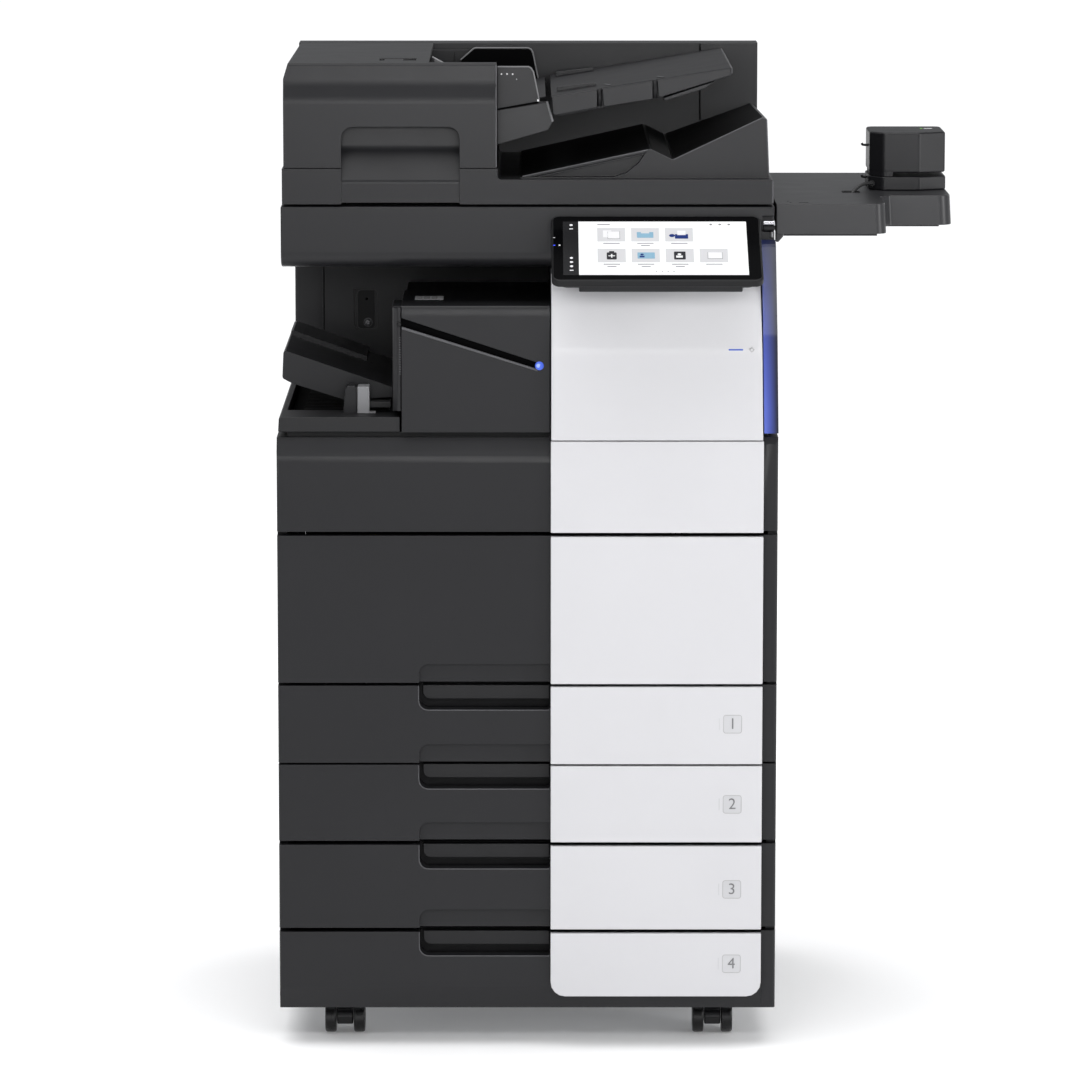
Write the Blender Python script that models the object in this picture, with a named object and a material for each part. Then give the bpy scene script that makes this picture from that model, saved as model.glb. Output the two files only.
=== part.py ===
"""Floor-standing colour photocopier with four paper drawers, an inner finisher and a document feeder.

Run with: blender --background --python part.py

All sizes are in metres and +Z is up. Shapes are drawn in the body frame: x = 0 is the middle of the
machine, y = 0 is the front face of its doors and drawers, y grows to the rear, and z = 0 is the floor.
The empty "machine" moves that frame so that the whole object stands centred on the world origin.
"""
from math import atan2, cos, pi, radians, sin, tan

import bmesh
import bpy
from mathutils import Vector

# Overall box of the object in the body frame
LEFT = -0.3075
RIGHT = 0.5290
FRONT = -0.1120
REAR = 0.588
TOP = 1.2196

# Body
HALF = 0.3075            # half the width of the body
SKIN = 0.012             # thickness of the side and rear covers
GAP = 0.0005             # play between fixed neighbours
COVER_PROUD = 0.010      # how far the white covers stand in front of the dark fronts
FRONT_T = 0.016          # thickness of a dark front
STRIP_STEP = 0.008       # how far the right-hand strip lies behind the dark front
WHITE_L = 0.0285
WHITE_R = 0.2890
BASE_Z = 0.0560
DECK_Z = 0.7600          # underside of the deck that the finisher stands on
DECK_TOP = 0.7700
SCANNER_Z = 0.9690
SCANNER_TOP = 1.0455
SCANNER_HALF = 0.3018
LEAN_Z = 0.780           # height from which the right edges lean inward
LEAN = 0.018             # and how far they lean for each metre of height
HEAD_Y = 0.030           # front face of the scanner and of the feeder

# Doors and drawers, from the top down: the lowest and highest z of each front
UPPER_DOOR = (0.6484, 0.7640)
LOWER_DOOR = (0.4604, 0.6434)
DRAWERS = ((0.3602, 0.4567), (0.2621, 0.3577), (0.1522, 0.2571), (0.0494, 0.1471))
BIN_HALF = 0.258
BIN_FRONT = 0.042
BIN_BACK = 0.500
BIN_WALL = 0.003
LEDGE_IN = 0.262         # inner edge of the drawer ledges
LEDGE_T = 0.003

# Finger grips at the top right of each dark front
GRIP_L = -0.1336
GRIP_R = 0.0280
GRIP_DEPTH = 0.026
GRIP_DROP = 0.030        # height of the pocket below a front's top edge
SCOOP_RISE = 0.0235      # height of the scoop above the bottom edge of the front over it
SCOOP_DEPTH = 0.009
GRIP_R_CORNER = 0.012

# Hinges and axles: (y, z) for axes along X, (x, z) for axes along Y, (x, y) for axes along Z
LOWER_DOOR_AXIS = (-0.0040, 0.4665)
UPPER_DOOR_AXIS = (-0.0030, 0.6555)
PANEL_AXIS = (0.0185, 1.0120)
FEEDER_AXIS = (0.5110, 1.0470)
COVER_AXIS = (-0.2965, 1.0945)
TRAY_AXIS = (0.0360, 1.1650)
ROLLER_AXIS = (-0.0100, 1.1650)
STAPLER_AXIS = (0.3480, 1.0745)
SIDE_DOOR_AXIS = (0.3045, 0.5380)
BYPASS_AXIS = (0.3055, 0.4975)

# Control panel
PANEL_TILT = radians(64.0)      # from upright
PANEL_LOW = (-0.1120, 0.9690)   # lower front edge of its face, (y, z)
PANEL_LEN = 0.150
PANEL_X = (0.0290, 0.2835)
SCREEN_X = (0.0450, 0.2670)
SCREEN_LEN = 0.125
SCREEN_INSET = 0.011

# Document feeder
FEEDER_Z = 1.0482
FEEDER_HALF = 0.3000
FEEDER_BACK = 0.5050
FEEDER_WALL = 0.4550
COVER_X = (-0.2980, -0.0380)
COVER_BACK = 0.4450
COVER_Z = 1.0925
COVER_T = 0.004
FOLD_LOW = 1.1700         # where the cover's front starts to lean back
FOLD_RISE = 0.0320
FOLD_STEPS = 6
SCOOP_X = (-0.2275, -0.0830)
SCOOP_TOP = 1.1427
TRAY_Y = (0.060, 0.440)
RAMP_FALL = 0.012        # how much lower the outer end of the output ramp is at the rear

# Casters
WHEEL_R = 0.0225
WHEEL_T = 0.014
CASTER_HALF = 0.025
CASTER_TRAIL = 0.013
AXLE_R = 0.003
CASTERS = {"front_left": (-0.229, 0.075), "front_right": (0.232, 0.075),
           "rear_left": (-0.229, 0.515), "rear_right": (0.232, 0.515)}

# Side table and stapler
TABLE_Z = (1.0100, 1.0470)
TABLE_FRONT = 0.050
TABLE_BACK = 0.510
STAPLER_Z = 1.0473
STAPLER_TOP = 1.1200
STAPLER_SLOT = (1.0642, 1.0688)
CORD_R = 0.0022

ARC_STEPS = 4
ROUND_SIDES = 16

# Colours as linear red, green, blue
BLACK = (0.040, 0.040, 0.043)
GREY = (0.080, 0.080, 0.083)
WHITE = (0.750, 0.750, 0.780)
BLUE = (0.060, 0.110, 0.620)
STEEL = (0.550, 0.550, 0.560)
GLASS = (0.120, 0.150, 0.160)
SCREEN = (0.850, 0.880, 0.920)
RUBBER = (0.020, 0.020, 0.020)
INK = {"yellow": (0.700, 0.520, 0.020), "magenta": (0.480, 0.030, 0.180),
       "cyan": (0.020, 0.300, 0.520), "black": (0.020, 0.020, 0.020)}


# ---------------------------------------------------------------- outlines and solids

def rounded(corners, steps=ARC_STEPS):
    """Outline through the given corners, each (u, v) or (u, v, radius), with arcs at the rounded ones."""
    outline = []
    count = len(corners)
    for index, corner in enumerate(corners):
        here = Vector(corner[:2])
        radius = corner[2] if len(corner) > 2 else 0.0
        if radius <= 0.0:
            outline.append(tuple(here))
            continue
        back = (Vector(corners[index - 1][:2]) - here).normalized()
        ahead = (Vector(corners[(index + 1) % count][:2]) - here).normalized()
        half_angle = back.angle(ahead) / 2.0
        centre = here + (back + ahead).normalized() * (radius / sin(half_angle))
        start = here + back * (radius / tan(half_angle)) - centre
        end = here + ahead * (radius / tan(half_angle)) - centre
        first = atan2(start.y, start.x)
        sweep = (atan2(end.y, end.x) - first + pi) % (2.0 * pi) - pi
        for step in range(steps + 1):
            angle = first + sweep * step / steps
            outline.append((centre.x + radius * cos(angle), centre.y + radius * sin(angle)))
    return outline


def prism(axis, outline, low, high):
    """Closed solid: an outline swept along X (outline in y, z), Y (in x, z) or Z (in x, y)."""
    place = {"X": lambda u, v, w: (w, u, v), "Y": lambda u, v, w: (u, w, v), "Z": lambda u, v, w: (u, v, w)}
    shape = bmesh.new()
    ends = [[shape.verts.new(place[axis](u, v, w)) for u, v in outline] for w in (low, high)]
    count = len(outline)
    for index in range(count):
        after = (index + 1) % count
        shape.faces.new((ends[0][index], ends[0][after], ends[1][after], ends[1][index]))
    shape.faces.new(reversed(ends[0]))
    shape.faces.new(ends[1])
    bmesh.ops.recalc_face_normals(shape, faces=shape.faces)
    return shape


def box(x_range, y_range, z_range):
    """Rectangular solid."""
    (x0, x1), (y0, y1), (z0, z1) = x_range, y_range, z_range
    return prism("Z", [(x0, y0), (x1, y0), (x1, y1), (x0, y1)], z0, z1)


def round_bar(axis, centre, radius, low, high, sides=ROUND_SIDES):
    """Cylinder along an axis; centre is given as in prism's outline."""
    turn = 2.0 * pi / sides
    outline = [(centre[0] + radius * cos(turn * step), centre[1] + radius * sin(turn * step))
               for step in range(sides)]
    return prism(axis, outline, low, high)


def combine(shape, tool, operation):
    """The shape after an exact Boolean with the tool."""
    holders = []
    for part in (shape, tool):
        mesh = bpy.data.meshes.new("step")
        part.to_mesh(mesh)
        part.free()
        holder = bpy.data.objects.new("step", mesh)
        bpy.context.scene.collection.objects.link(holder)
        holders.append(holder)
    modifier = holders[0].modifiers.new("boolean", "BOOLEAN")
    modifier.operation = operation
    modifier.solver = "EXACT"
    modifier.object = holders[1]
    graph = bpy.context.evaluated_depsgraph_get()
    result = bmesh.new()
    result.from_mesh(bpy.data.meshes.new_from_object(holders[0].evaluated_get(graph)))
    for holder in holders:
        bpy.data.objects.remove(holder)
    bmesh.ops.dissolve_limit(result, angle_limit=radians(0.2), verts=result.verts, edges=result.edges)
    return result


def cut(shape, *tools):
    """The shape with each tool taken out of it."""
    for tool in tools:
        shape = combine(shape, tool, "DIFFERENCE")
    return shape


def join(shape, *tools):
    """The shape and the tools as one body."""
    for tool in tools:
        shape = combine(shape, tool, "UNION")
    return shape


# ---------------------------------------------------------------- objects and materials

def material(name, colour, roughness=0.45, metallic=0.0):
    """Principled material, made once for each name."""
    made = bpy.data.materials.get(name)
    if made is None:
        made = bpy.data.materials.new(name)
        made.use_nodes = True
        shader = made.node_tree.nodes["Principled BSDF"]
        shader.inputs["Base Color"].default_value = (*colour, 1.0)
        shader.inputs["Roughness"].default_value = roughness
        shader.inputs["Metallic"].default_value = metallic
        made.diffuse_color = (*colour, 1.0)
    return made


def node(name, shape, look, pivot=(0.0, 0.0, 0.0)):
    """Named object whose origin is its pivot, in the body frame, under the empty "machine"."""
    bmesh.ops.translate(shape, verts=shape.verts, vec=-Vector(pivot))
    mesh = bpy.data.meshes.new(name)
    shape.to_mesh(mesh)
    shape.free()
    mesh.materials.append(look)
    made = bpy.data.objects.new(name, mesh)
    bpy.context.scene.collection.objects.link(made)
    made.parent = bpy.data.objects["machine"]
    made.location = pivot
    mesh.shade_smooth()
    mesh.set_sharp_from_angle(angle=radians(30.0))
    return made


def black(name):
    """The dark moulded plastic of one sub-part."""
    return material(name + "_plastic", BLACK, 0.42)


# ---------------------------------------------------------------- body

def side_cover(side):
    """Cover plate of one side (-1 left, 1 right) with an inward ledge under each drawer's flanges."""
    faces = sorted((side * HALF, side * (HALF - SKIN)))
    shape = box(faces, (FRONT_T + 0.002, REAR), (BASE_Z - 0.004, DECK_TOP - 0.006))
    for _, high in DRAWERS:
        top = high - 0.026
        tip = sorted((side * LEDGE_IN, side * (HALF - SKIN + 0.001)))
        shape = join(shape, box(tip, (0.045, 0.560), (top - LEDGE_T, top)))
    return shape


def make_body():
    """Base, decks and outer covers."""
    inside = HALF - SKIN - GAP
    base = join(box((-inside, inside), (0.042, REAR - SKIN - GAP), (BASE_Z, BASE_Z + 0.014)),
                box((-0.250, 0.250), (0.505, 0.511), (BASE_Z + 0.010, 0.400)))
    node("base_tray", base, material("base_steel", STEEL, 0.5, 0.8))
    node("left_side_cover", side_cover(-1.0), black("left_side_cover"))
    window = box((HALF - SKIN - 0.010, HALF + 0.010), (0.100, 0.545), (0.475, 0.755))
    node("right_side_cover", cut(side_cover(1.0), window), black("right_side_cover"))
    rear = box((-inside, inside), (REAR - SKIN, REAR), (BASE_Z - 0.004, SCANNER_Z - 0.004))
    sockets = box((0.120, 0.200), (REAR - 0.008, REAR + 0.01), (0.120, 0.170))
    node("rear_cover", cut(rear, sockets), black("rear_cover"))
    steel = material("deck_steel", STEEL, 0.5, 0.8)
    node("engine_deck", box((-inside, inside), (0.045, 0.570), (0.4640, 0.4680)), steel)
    node("output_deck", box((-inside, inside), (0.022, 0.575), (DECK_Z, DECK_TOP)), black("output_deck"))


def lean_inward(shape, beyond):
    """Lean the faces beyond that x inward as they rise, the way the body narrows towards the scanner."""
    for vert in shape.verts:
        if vert.co.x > beyond and vert.co.z > LEAN_Z:
            vert.co.x -= (vert.co.z - LEAN_Z) * LEAN


def make_upper_body():
    """The housings between the deck and the scanner, and the white and blue covers on them."""
    low, high = DECK_TOP + GAP, SCANNER_Z - GAP
    wall = rounded([(-0.3022, 0.4600, 0.004), (-0.2660, 0.4600), (-0.2660, 0.4400), (0.0275, 0.4400),
                    (0.0275, 0.5750), (-0.3022, 0.5750, 0.006)])
    hollow = box((-0.2960, 0.0235), (0.4640, 0.5710), (low - 0.01, high - 0.006))
    plate = prism("Y", rounded([(-0.2250, 0.8500, 0.005), (-0.1983, 0.8500, 0.005), (-0.1983, 0.9020),
                                (-0.2250, 0.9020)]), 0.430, 0.4425)
    node("inner_rear_wall", cut(prism("Z", wall, low, high), hollow, plate), black("inner_rear_wall"))

    plan = [(WHITE_L, 0.0045), (WHITE_R - 0.005, 0.0045), (WHITE_R - 0.005, 0.060),
            (HALF - 0.003, 0.060), (HALF - 0.003, 0.575), (WHITE_L, 0.575)]
    nose = prism("X", [(-0.01, 0.858), (0.0045, 0.858), (0.0160, 0.905), (0.0450, 0.950),
                       (0.0450, 0.99), (-0.01, 0.99)], WHITE_L - 0.01, HALF)
    inside = box((WHITE_L + 0.004, WHITE_R - 0.009), (0.060, 0.571), (low - 0.01, high - 0.006))
    node("right_tower", cut(prism("Z", plan, low, high), nose, inside), black("right_tower"))

    face = [(-COVER_PROUD, 0.7625), (-COVER_PROUD, 0.8700, 0.060), (0.0100, 0.9480, 0.020), (0.0300, 0.9640),
            (0.0345, 0.9560), (0.0140, 0.9420), (-0.0005, 0.8950), (0.0000, 0.7625)]
    cover = prism("X", rounded(face, 6), WHITE_L + GAP, WHITE_R - 2.0 * GAP)
    lean_inward(cover, WHITE_R - 0.01)
    node("upper_front_cover", cover, material("upper_front_cover_white", WHITE, 0.35))

    blade = [(-0.0040, low), (-0.0040, 0.8900, 0.050), (0.0130, 1.0000, 0.004), (0.0280, 1.0070, 0.003),
             (0.0280, SCANNER_Z - 0.001), (0.0560, SCANNER_Z - 0.001), (0.0560, low)]
    accent = prism("X", rounded(blade), WHITE_R + GAP, HALF - GAP)
    lean_inward(accent, WHITE_R)
    node("side_accent_cover", accent, material("side_accent_blue", BLUE, 0.18))


def make_scanner():
    """Flatbed scanner: case with a glass in its top and a carriage that travels under it."""
    section = rounded([(HEAD_Y, SCANNER_Z + 0.004, 0.020), (HEAD_Y, SCANNER_TOP, 0.003),
                       (0.560, SCANNER_TOP, 0.004), (0.560, SCANNER_Z, 0.004), (HEAD_Y + 0.030, SCANNER_Z)])
    bay = box((-0.280, 0.280), (0.062, 0.430), (SCANNER_Z + 0.006, SCANNER_TOP - 0.0075))
    window = box((-0.2265, 0.2265), (0.0785, 0.4015), (SCANNER_TOP - 0.010, SCANNER_TOP + 0.010))
    rim = box((-0.2320, 0.2320), (0.0735, 0.4065), (SCANNER_TOP - 0.0045, SCANNER_TOP + 0.010))
    pocket = box((0.2870, 0.3100), (0.0200, 0.0440), (1.0150, 1.0335))
    case = cut(prism("X", section, -SCANNER_HALF, SCANNER_HALF), bay, window, rim, pocket)
    node("scanner_case", case, black("scanner_case"))
    glass = box((-0.2315, 0.2315), (0.0740, 0.4060), (SCANNER_TOP - 0.0041, SCANNER_TOP - 0.0005))
    node("platen_glass", glass, material("platen_glass", GLASS, 0.05))
    lamp = [(-0.2600, 0.986), (-0.2200, 0.986), (-0.2200, 1.022), (-0.2300, 1.030), (-0.2500, 1.030),
            (-0.2600, 1.022)]
    node("scan_carriage", prism("Y", lamp, 0.070, 0.420), black("scan_carriage"), (-0.240, 0.245, 1.008))


# ---------------------------------------------------------------- doors and drawers

def front_plan():
    """Plan of a dark front: rounded left corner, flat face, and the strip stepped back at the right."""
    step = HALF - 0.0180
    return rounded([(-HALF, FRONT_T), (-HALF, 0.0, 0.004), (step, 0.0, 0.001), (step, STRIP_STEP),
                    (HALF, STRIP_STEP, 0.004), (HALF, FRONT_T)], 3)


def grip_outline(low, high, rounded_at_top):
    """Front view of a grip: two square corners on the seam and rounded corners away from it."""
    turn = GRIP_R_CORNER
    if rounded_at_top:
        return rounded([(GRIP_L, low), (GRIP_R, low), (GRIP_R, high), (GRIP_L, high, turn)])
    return rounded([(GRIP_L, low, turn), (GRIP_R, low, 0.004), (GRIP_R, high), (GRIP_L, high)])


def scoop_cutter(bottom):
    """The shallow scoop in the lower edge of a front, over the grip of the drawer below it."""
    return prism("Y", grip_outline(bottom - 0.010, bottom + SCOOP_RISE, True), -0.010, SCOOP_DEPTH)


def white_cover(name, low, high, radius, pivot):
    """White cover over the right half of a front."""
    outline = rounded([(WHITE_L, low, radius), (WHITE_R, low, radius), (WHITE_R, high, 0.001),
                       (WHITE_L, high, 0.001)])
    node(name, prism("Y", outline, -COVER_PROUD, -0.0004), material(name + "_white", WHITE, 0.35), pivot)


def make_doors():
    """The toner door and the main front door, each hinged along its lower edge."""
    low, high = UPPER_DOOR
    pivot = (0.0, *UPPER_DOOR_AXIS)
    panel = prism("Z", front_plan(), low, high)
    slope = prism("X", [(-0.02, 0.7310), (-0.0005, 0.7310), (0.0022, 0.7420), (0.0120, high + 0.001),
                        (-0.02, high + 0.001)], -HALF - 0.01, HALF + 0.01)
    relief = box((WHITE_L - GAP, WHITE_R), (-0.02, 0.03), (high - 0.0045, high + 0.01))
    node("upper_door", cut(panel, slope, relief), black("upper_door"), pivot)
    white_cover("upper_door_cover", low, high - 0.0028, 0.001, pivot)
    low, high = LOWER_DOOR
    pivot = (0.0, *LOWER_DOOR_AXIS)
    node("lower_door", cut(prism("Z", front_plan(), low, high), scoop_cutter(low)),
         black("lower_door"), pivot)
    white_cover("lower_door_cover", low, high, 0.001, pivot)


def make_drawer(number, low, high):
    """One paper drawer: dark front with its grip, white cover, and the bin that holds the paper."""
    pivot = (0.0, 0.0, (low + high) / 2.0)
    name = "drawer_%d" % number
    panel = prism("Z", front_plan(), low, high)
    if number == len(DRAWERS):
        skirt = prism("X", [(-0.02, low - 0.01), (0.010, low - 0.01), (0.0060, low + 0.012),
                            (-0.0005, low + 0.030), (-0.02, low + 0.030)], -HALF - 0.01, HALF + 0.01)
        panel = cut(panel, skirt)
    else:
        panel = cut(panel, scoop_cutter(low))
    housing = box((GRIP_L - 0.004, GRIP_R + 0.004), (FRONT_T - 0.004, GRIP_DEPTH + 0.004),
                  (high - GRIP_DROP - 0.004, high))
    pocket = prism("Y", grip_outline(high - GRIP_DROP, high + 0.010, False), -0.010, GRIP_DEPTH)
    node(name + "_front", cut(join(panel, housing), pocket), black(name + "_front"), pivot)
    bottom = low + 0.0180 if number == len(DRAWERS) else low
    corner = 0.018 if number == len(DRAWERS) else 0.001
    white_cover(name + "_cover", bottom, high, corner, pivot)

    rim = high - 0.0255
    floor = low + (0.026 if number == len(DRAWERS) else 0.008)
    tray = box((-BIN_HALF, BIN_HALF), (BIN_FRONT, BIN_BACK), (floor, rim))
    flanges = box((-BIN_HALF - 0.026, BIN_HALF + 0.026), (BIN_FRONT, BIN_BACK), (rim, rim + 0.003))
    space = box((-BIN_HALF + BIN_WALL, BIN_HALF - BIN_WALL), (BIN_FRONT + BIN_WALL, BIN_BACK - BIN_WALL),
                (floor + BIN_WALL, rim + 0.01))
    ties = [box((x - 0.010, x + 0.010), (FRONT_T + 0.0004, BIN_FRONT + 0.001), (floor, floor + 0.020))
            for x in (-0.200, 0.200)]
    node(name + "_bin", cut(join(tray, flanges, *ties), space), material(name + "_bin_grey", GREY, 0.5), pivot)


def make_side_door():
    """Paper path door in the right side, with the bypass tray folded up in it."""
    pivot = (*SIDE_DOOR_AXIS, 0.615)
    door = box((HALF - 0.010, HALF), (0.102, 0.543), (0.477, 0.753))
    opening = box((HALF - 0.0075, HALF + 0.01), (0.150, 0.500), (0.492, 0.700))
    node("right_door", cut(door, opening), black("right_door"), pivot)
    x, z = BYPASS_AXIS
    leaf = prism("Y", rounded([(HALF - 0.006, 0.4940, 0.002), (HALF, 0.4940, 0.003), (HALF, 0.6980, 0.002),
                               (HALF - 0.006, 0.6980, 0.001)]), 0.152, 0.498)
    node("bypass_tray", leaf, black("bypass_tray"), (x, 0.325, z))


# ---------------------------------------------------------------- inside

def make_inside():
    """Toner cartridges behind the upper door and the fuser beside the side door."""
    for index, (ink, colour) in enumerate(INK.items()):
        x = -0.215 + 0.105 * index
        outline = rounded([(x - 0.036, 0.660, 0.018), (x + 0.036, 0.660, 0.018), (x + 0.036, 0.745, 0.010),
                           (x - 0.036, 0.745, 0.010)], 3)
        node("toner_cartridge_" + ink, prism("Y", outline, 0.050, 0.420),
             material("toner_" + ink, colour, 0.4))
    fuser = rounded([(0.190, 0.560, 0.010), (0.282, 0.560, 0.010), (0.282, 0.640, 0.020), (0.190, 0.640, 0.010)])
    node("fuser_unit", prism("Y", fuser, 0.090, 0.530), material("fuser_steel", STEEL, 0.4, 0.8))


# ---------------------------------------------------------------- finisher

def make_finisher():
    """Inner finisher in the output bay: its housing, the sloping tray it fills, and the base under it."""
    left, right = -0.1540, 0.0275
    section = rounded([(0.002, 0.7712), (0.002, 0.9125), (0.0060, 0.9265, 0.004), (0.1800, 0.9275, 0.003),
                       (0.1800, 0.9120), (0.4300, 0.9120), (0.4300, 0.7712)])
    space = box((left + 0.006, right - 0.004), (0.020, 0.424), (0.760, 0.9060))
    groove = prism("Y", [(left - 0.01, 0.9150), (left - 0.01, 0.9040), (0.0110, 0.8480), (0.0150, 0.8560)],
                   -0.01, 0.008)
    outlet = box((left - 0.02, left + 0.02), (0.110, 0.385), (0.8500, 0.8700))
    frame = box((left - 0.0110, left + 0.002), (0.0120, 0.0880), (0.7960, 0.9250))
    case = cut(prism("X", section, left, right), space, groove, outlet)
    node("finisher_case", join(case, frame), black("finisher_case"))

    end = left - 0.0130
    tray = rounded([(-0.3030, 0.8285, 0.004), (-0.2915, 0.8223), (-0.2260, 0.8014), (end, 0.8050), (end, 0.8175),
                    (-0.3014, 0.8635, 0.003)])
    shelf = [(-0.2990, 0.8500), (-0.2030, 0.8200), (-0.2030, 0.8360), (-0.2960, 0.8690), (-0.2990, 0.8680)]
    node("finisher_tray", join(prism("Y", tray, 0.080, 0.361), prism("Y", shelf, 0.250, 0.3605)),
         black("finisher_tray"))

    floor = prism("Y", rounded([(-0.3055, 0.7712), (-0.1562, 0.7712), (-0.1562, 0.7895), (-0.3045, 0.7895, 0.003)]),
                  0.006, 0.430)
    hollow = box((-0.2960, -0.1720), (0.075, 0.400), (0.7760, 0.800))
    stop = prism("Y", rounded([(-0.2263, 0.7880), (-0.1940, 0.7880), (-0.1950, 0.8215, 0.002),
                               (-0.2240, 0.8215, 0.004)]), 0.045, 0.0720)
    rail = box((-0.1950, -0.1680), (0.050, 0.070), (0.7953, 0.8030))
    node("finisher_base", join(cut(floor, hollow), stop, rail), black("finisher_base"))


# ---------------------------------------------------------------- control panel

def panel_point(along, out):
    """(y, z) of a point on the tilted panel: along its face from the lower edge, and out of the face."""
    y = PANEL_LOW[0] + along * sin(PANEL_TILT) - out * cos(PANEL_TILT)
    z = PANEL_LOW[1] + along * cos(PANEL_TILT) + out * sin(PANEL_TILT)
    return (y, z)


def make_panel():
    """Touch panel on the front of the scanner, hinged along its upper edge."""
    pivot = (0.0, *PANEL_AXIS)
    back = [panel_point(0.0, 0.0), panel_point(PANEL_LEN, 0.0), panel_point(PANEL_LEN, -0.010),
            panel_point(PANEL_LEN - 0.012, -0.019), panel_point(0.030, -0.019), panel_point(0.006, -0.011),
            panel_point(0.0, -0.008)]
    shell = prism("X", back, *PANEL_X)
    low, high = SCREEN_INSET, SCREEN_INSET + SCREEN_LEN
    recess = prism("X", [panel_point(low, 0.01), panel_point(high, 0.01), panel_point(high, -0.003),
                         panel_point(low, -0.003)], *SCREEN_X)
    hub = prism("X", [panel_point(0.010, -0.012), panel_point(0.070, -0.012), panel_point(0.070, -0.030),
                      panel_point(0.016, -0.026)], 0.062, 0.259)
    node("panel_housing", cut(join(shell, hub), recess), black("panel_housing"), pivot)
    play = 0.0004
    screen = prism("X", [panel_point(low + play, -0.0004), panel_point(high - play, -0.0004),
                         panel_point(high - play, -0.0026), panel_point(low + play, -0.0026)],
                   SCREEN_X[0] + play, SCREEN_X[1] - play)
    node("panel_screen", screen, material("panel_screen", SCREEN, 0.1), pivot)


# ---------------------------------------------------------------- document feeder

def make_feeder_base():
    """Lid over the glass: slab, paper ramps, rear wall and the bulge behind the grip opening."""
    end = COVER_X[1] + 0.0015
    slab = rounded([(-FEEDER_HALF, FEEDER_Z), (FEEDER_HALF, FEEDER_Z), (FEEDER_HALF, 1.0785, 0.003),
                    (end, 1.0785, 0.004), (end, COVER_Z - 0.0008), (-FEEDER_HALF, COVER_Z - 0.0008)])
    wall = prism("X", rounded([(FEEDER_WALL, 1.070), (FEEDER_BACK, 1.070), (FEEDER_BACK, TOP, 0.004),
                               (FEEDER_WALL, TOP, 0.002)]), -0.2950, 0.2970)
    ramp = prism("Y", [(-0.0200, 1.070), (-0.0090, 1.079), (0.1500, 1.1144), (0.1770, 1.1010), (0.2880, 1.1530),
                       (0.2925, 1.1510), (0.2955, 1.070)], 0.050, FEEDER_WALL + 0.002)
    for vert in ramp.verts:
        if vert.co.z > 1.120 and vert.co.y > FEEDER_WALL:
            vert.co.z -= RAMP_FALL
    bmesh.ops.triangulate(ramp, faces=ramp.faces)
    recess = prism("Y", [(-0.0300, 1.0800), (0.1060, 1.0800), (0.1210, 1.0850), (0.1360, 1.0970), (0.1516, 1.1200),
                         (-0.0300, 1.1300)], 0.040, 0.062)
    bulge = prism("X", rounded([(HEAD_Y + 0.002, 1.050), (HEAD_Y + 0.002, 1.0760, 0.010), (0.0560, 1.1150, 0.020),
                                (0.0600, 1.1440), (0.0650, 1.1440), (0.0650, 1.050)]),
                  SCOOP_X[0] - 0.001, SCOOP_X[1] + 0.001)
    finger = box(SCOOP_X, (0.020, 0.064), (FEEDER_Z - 0.01, COVER_Z + 0.01))
    base = join(prism("Y", slab, HEAD_Y, FEEDER_BACK), wall, ramp)
    base = join(cut(base, recess, finger), bulge)
    node("feeder_base", base, black("feeder_base"), (0.0, *FEEDER_AXIS))


def make_feeder_cover():
    """Cover over the feed path, hinged along its left edge; an arch for the grip and a notch over the entry."""
    low, high = COVER_X
    front, brow = HEAD_Y + 0.0005, HEAD_Y + 0.0070
    shares = [step / FOLD_STEPS for step in range(FOLD_STEPS + 1)]
    fold = [(front + (brow - front) * share ** 2 * (3.0 - 2.0 * share), FOLD_LOW + FOLD_RISE * share)
            for share in shares]
    section = rounded([(front, COVER_Z), *fold, (brow + 0.0005, TOP, 0.003), (COVER_BACK, TOP, 0.002),
                       (COVER_BACK, COVER_Z)])
    shell = prism("X", section, low, high)
    face, back = front + COVER_T, COVER_BACK - COVER_T
    space = prism("X", [(face, COVER_Z - 0.01), (face, 1.1740), (brow + COVER_T, 1.1890),
                        (brow + COVER_T, TOP - 0.006), (back, TOP - 0.006), (back, COVER_Z - 0.01)],
                  low + 0.012, high + 0.01)
    side_space = box((low + COVER_T, low + 0.013), (face, back), (COVER_Z - 0.01, 1.1880))
    corner = prism("Y", [(low - 0.01, TOP - 0.022), (low - 0.001, TOP - 0.022), (low + 0.0060, TOP + 0.001),
                         (low - 0.01, TOP + 0.001)], HEAD_Y - 0.01, COVER_BACK + 0.01)
    arch = prism("Y", rounded([(SCOOP_X[0], COVER_Z - 0.01), (SCOOP_X[1], COVER_Z - 0.01),
                               (SCOOP_X[1], SCOOP_TOP, 0.014), (SCOOP_X[0], SCOOP_TOP, 0.014)], 6),
                 HEAD_Y - 0.01, HEAD_Y + 0.010)
    latch = box((-0.1826, -0.1368), (0.095, 0.140), (TOP - 0.003, TOP + 0.01))
    notch = box((-0.1215, 0.0), (0.060, COVER_BACK + 0.01), (TOP - 0.0085, TOP + 0.01))
    node("feeder_cover", cut(shell, space, side_space, corner, arch, latch, notch), black("feeder_cover"),
         (COVER_AXIS[0], 0.24, COVER_AXIS[1]))


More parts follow.
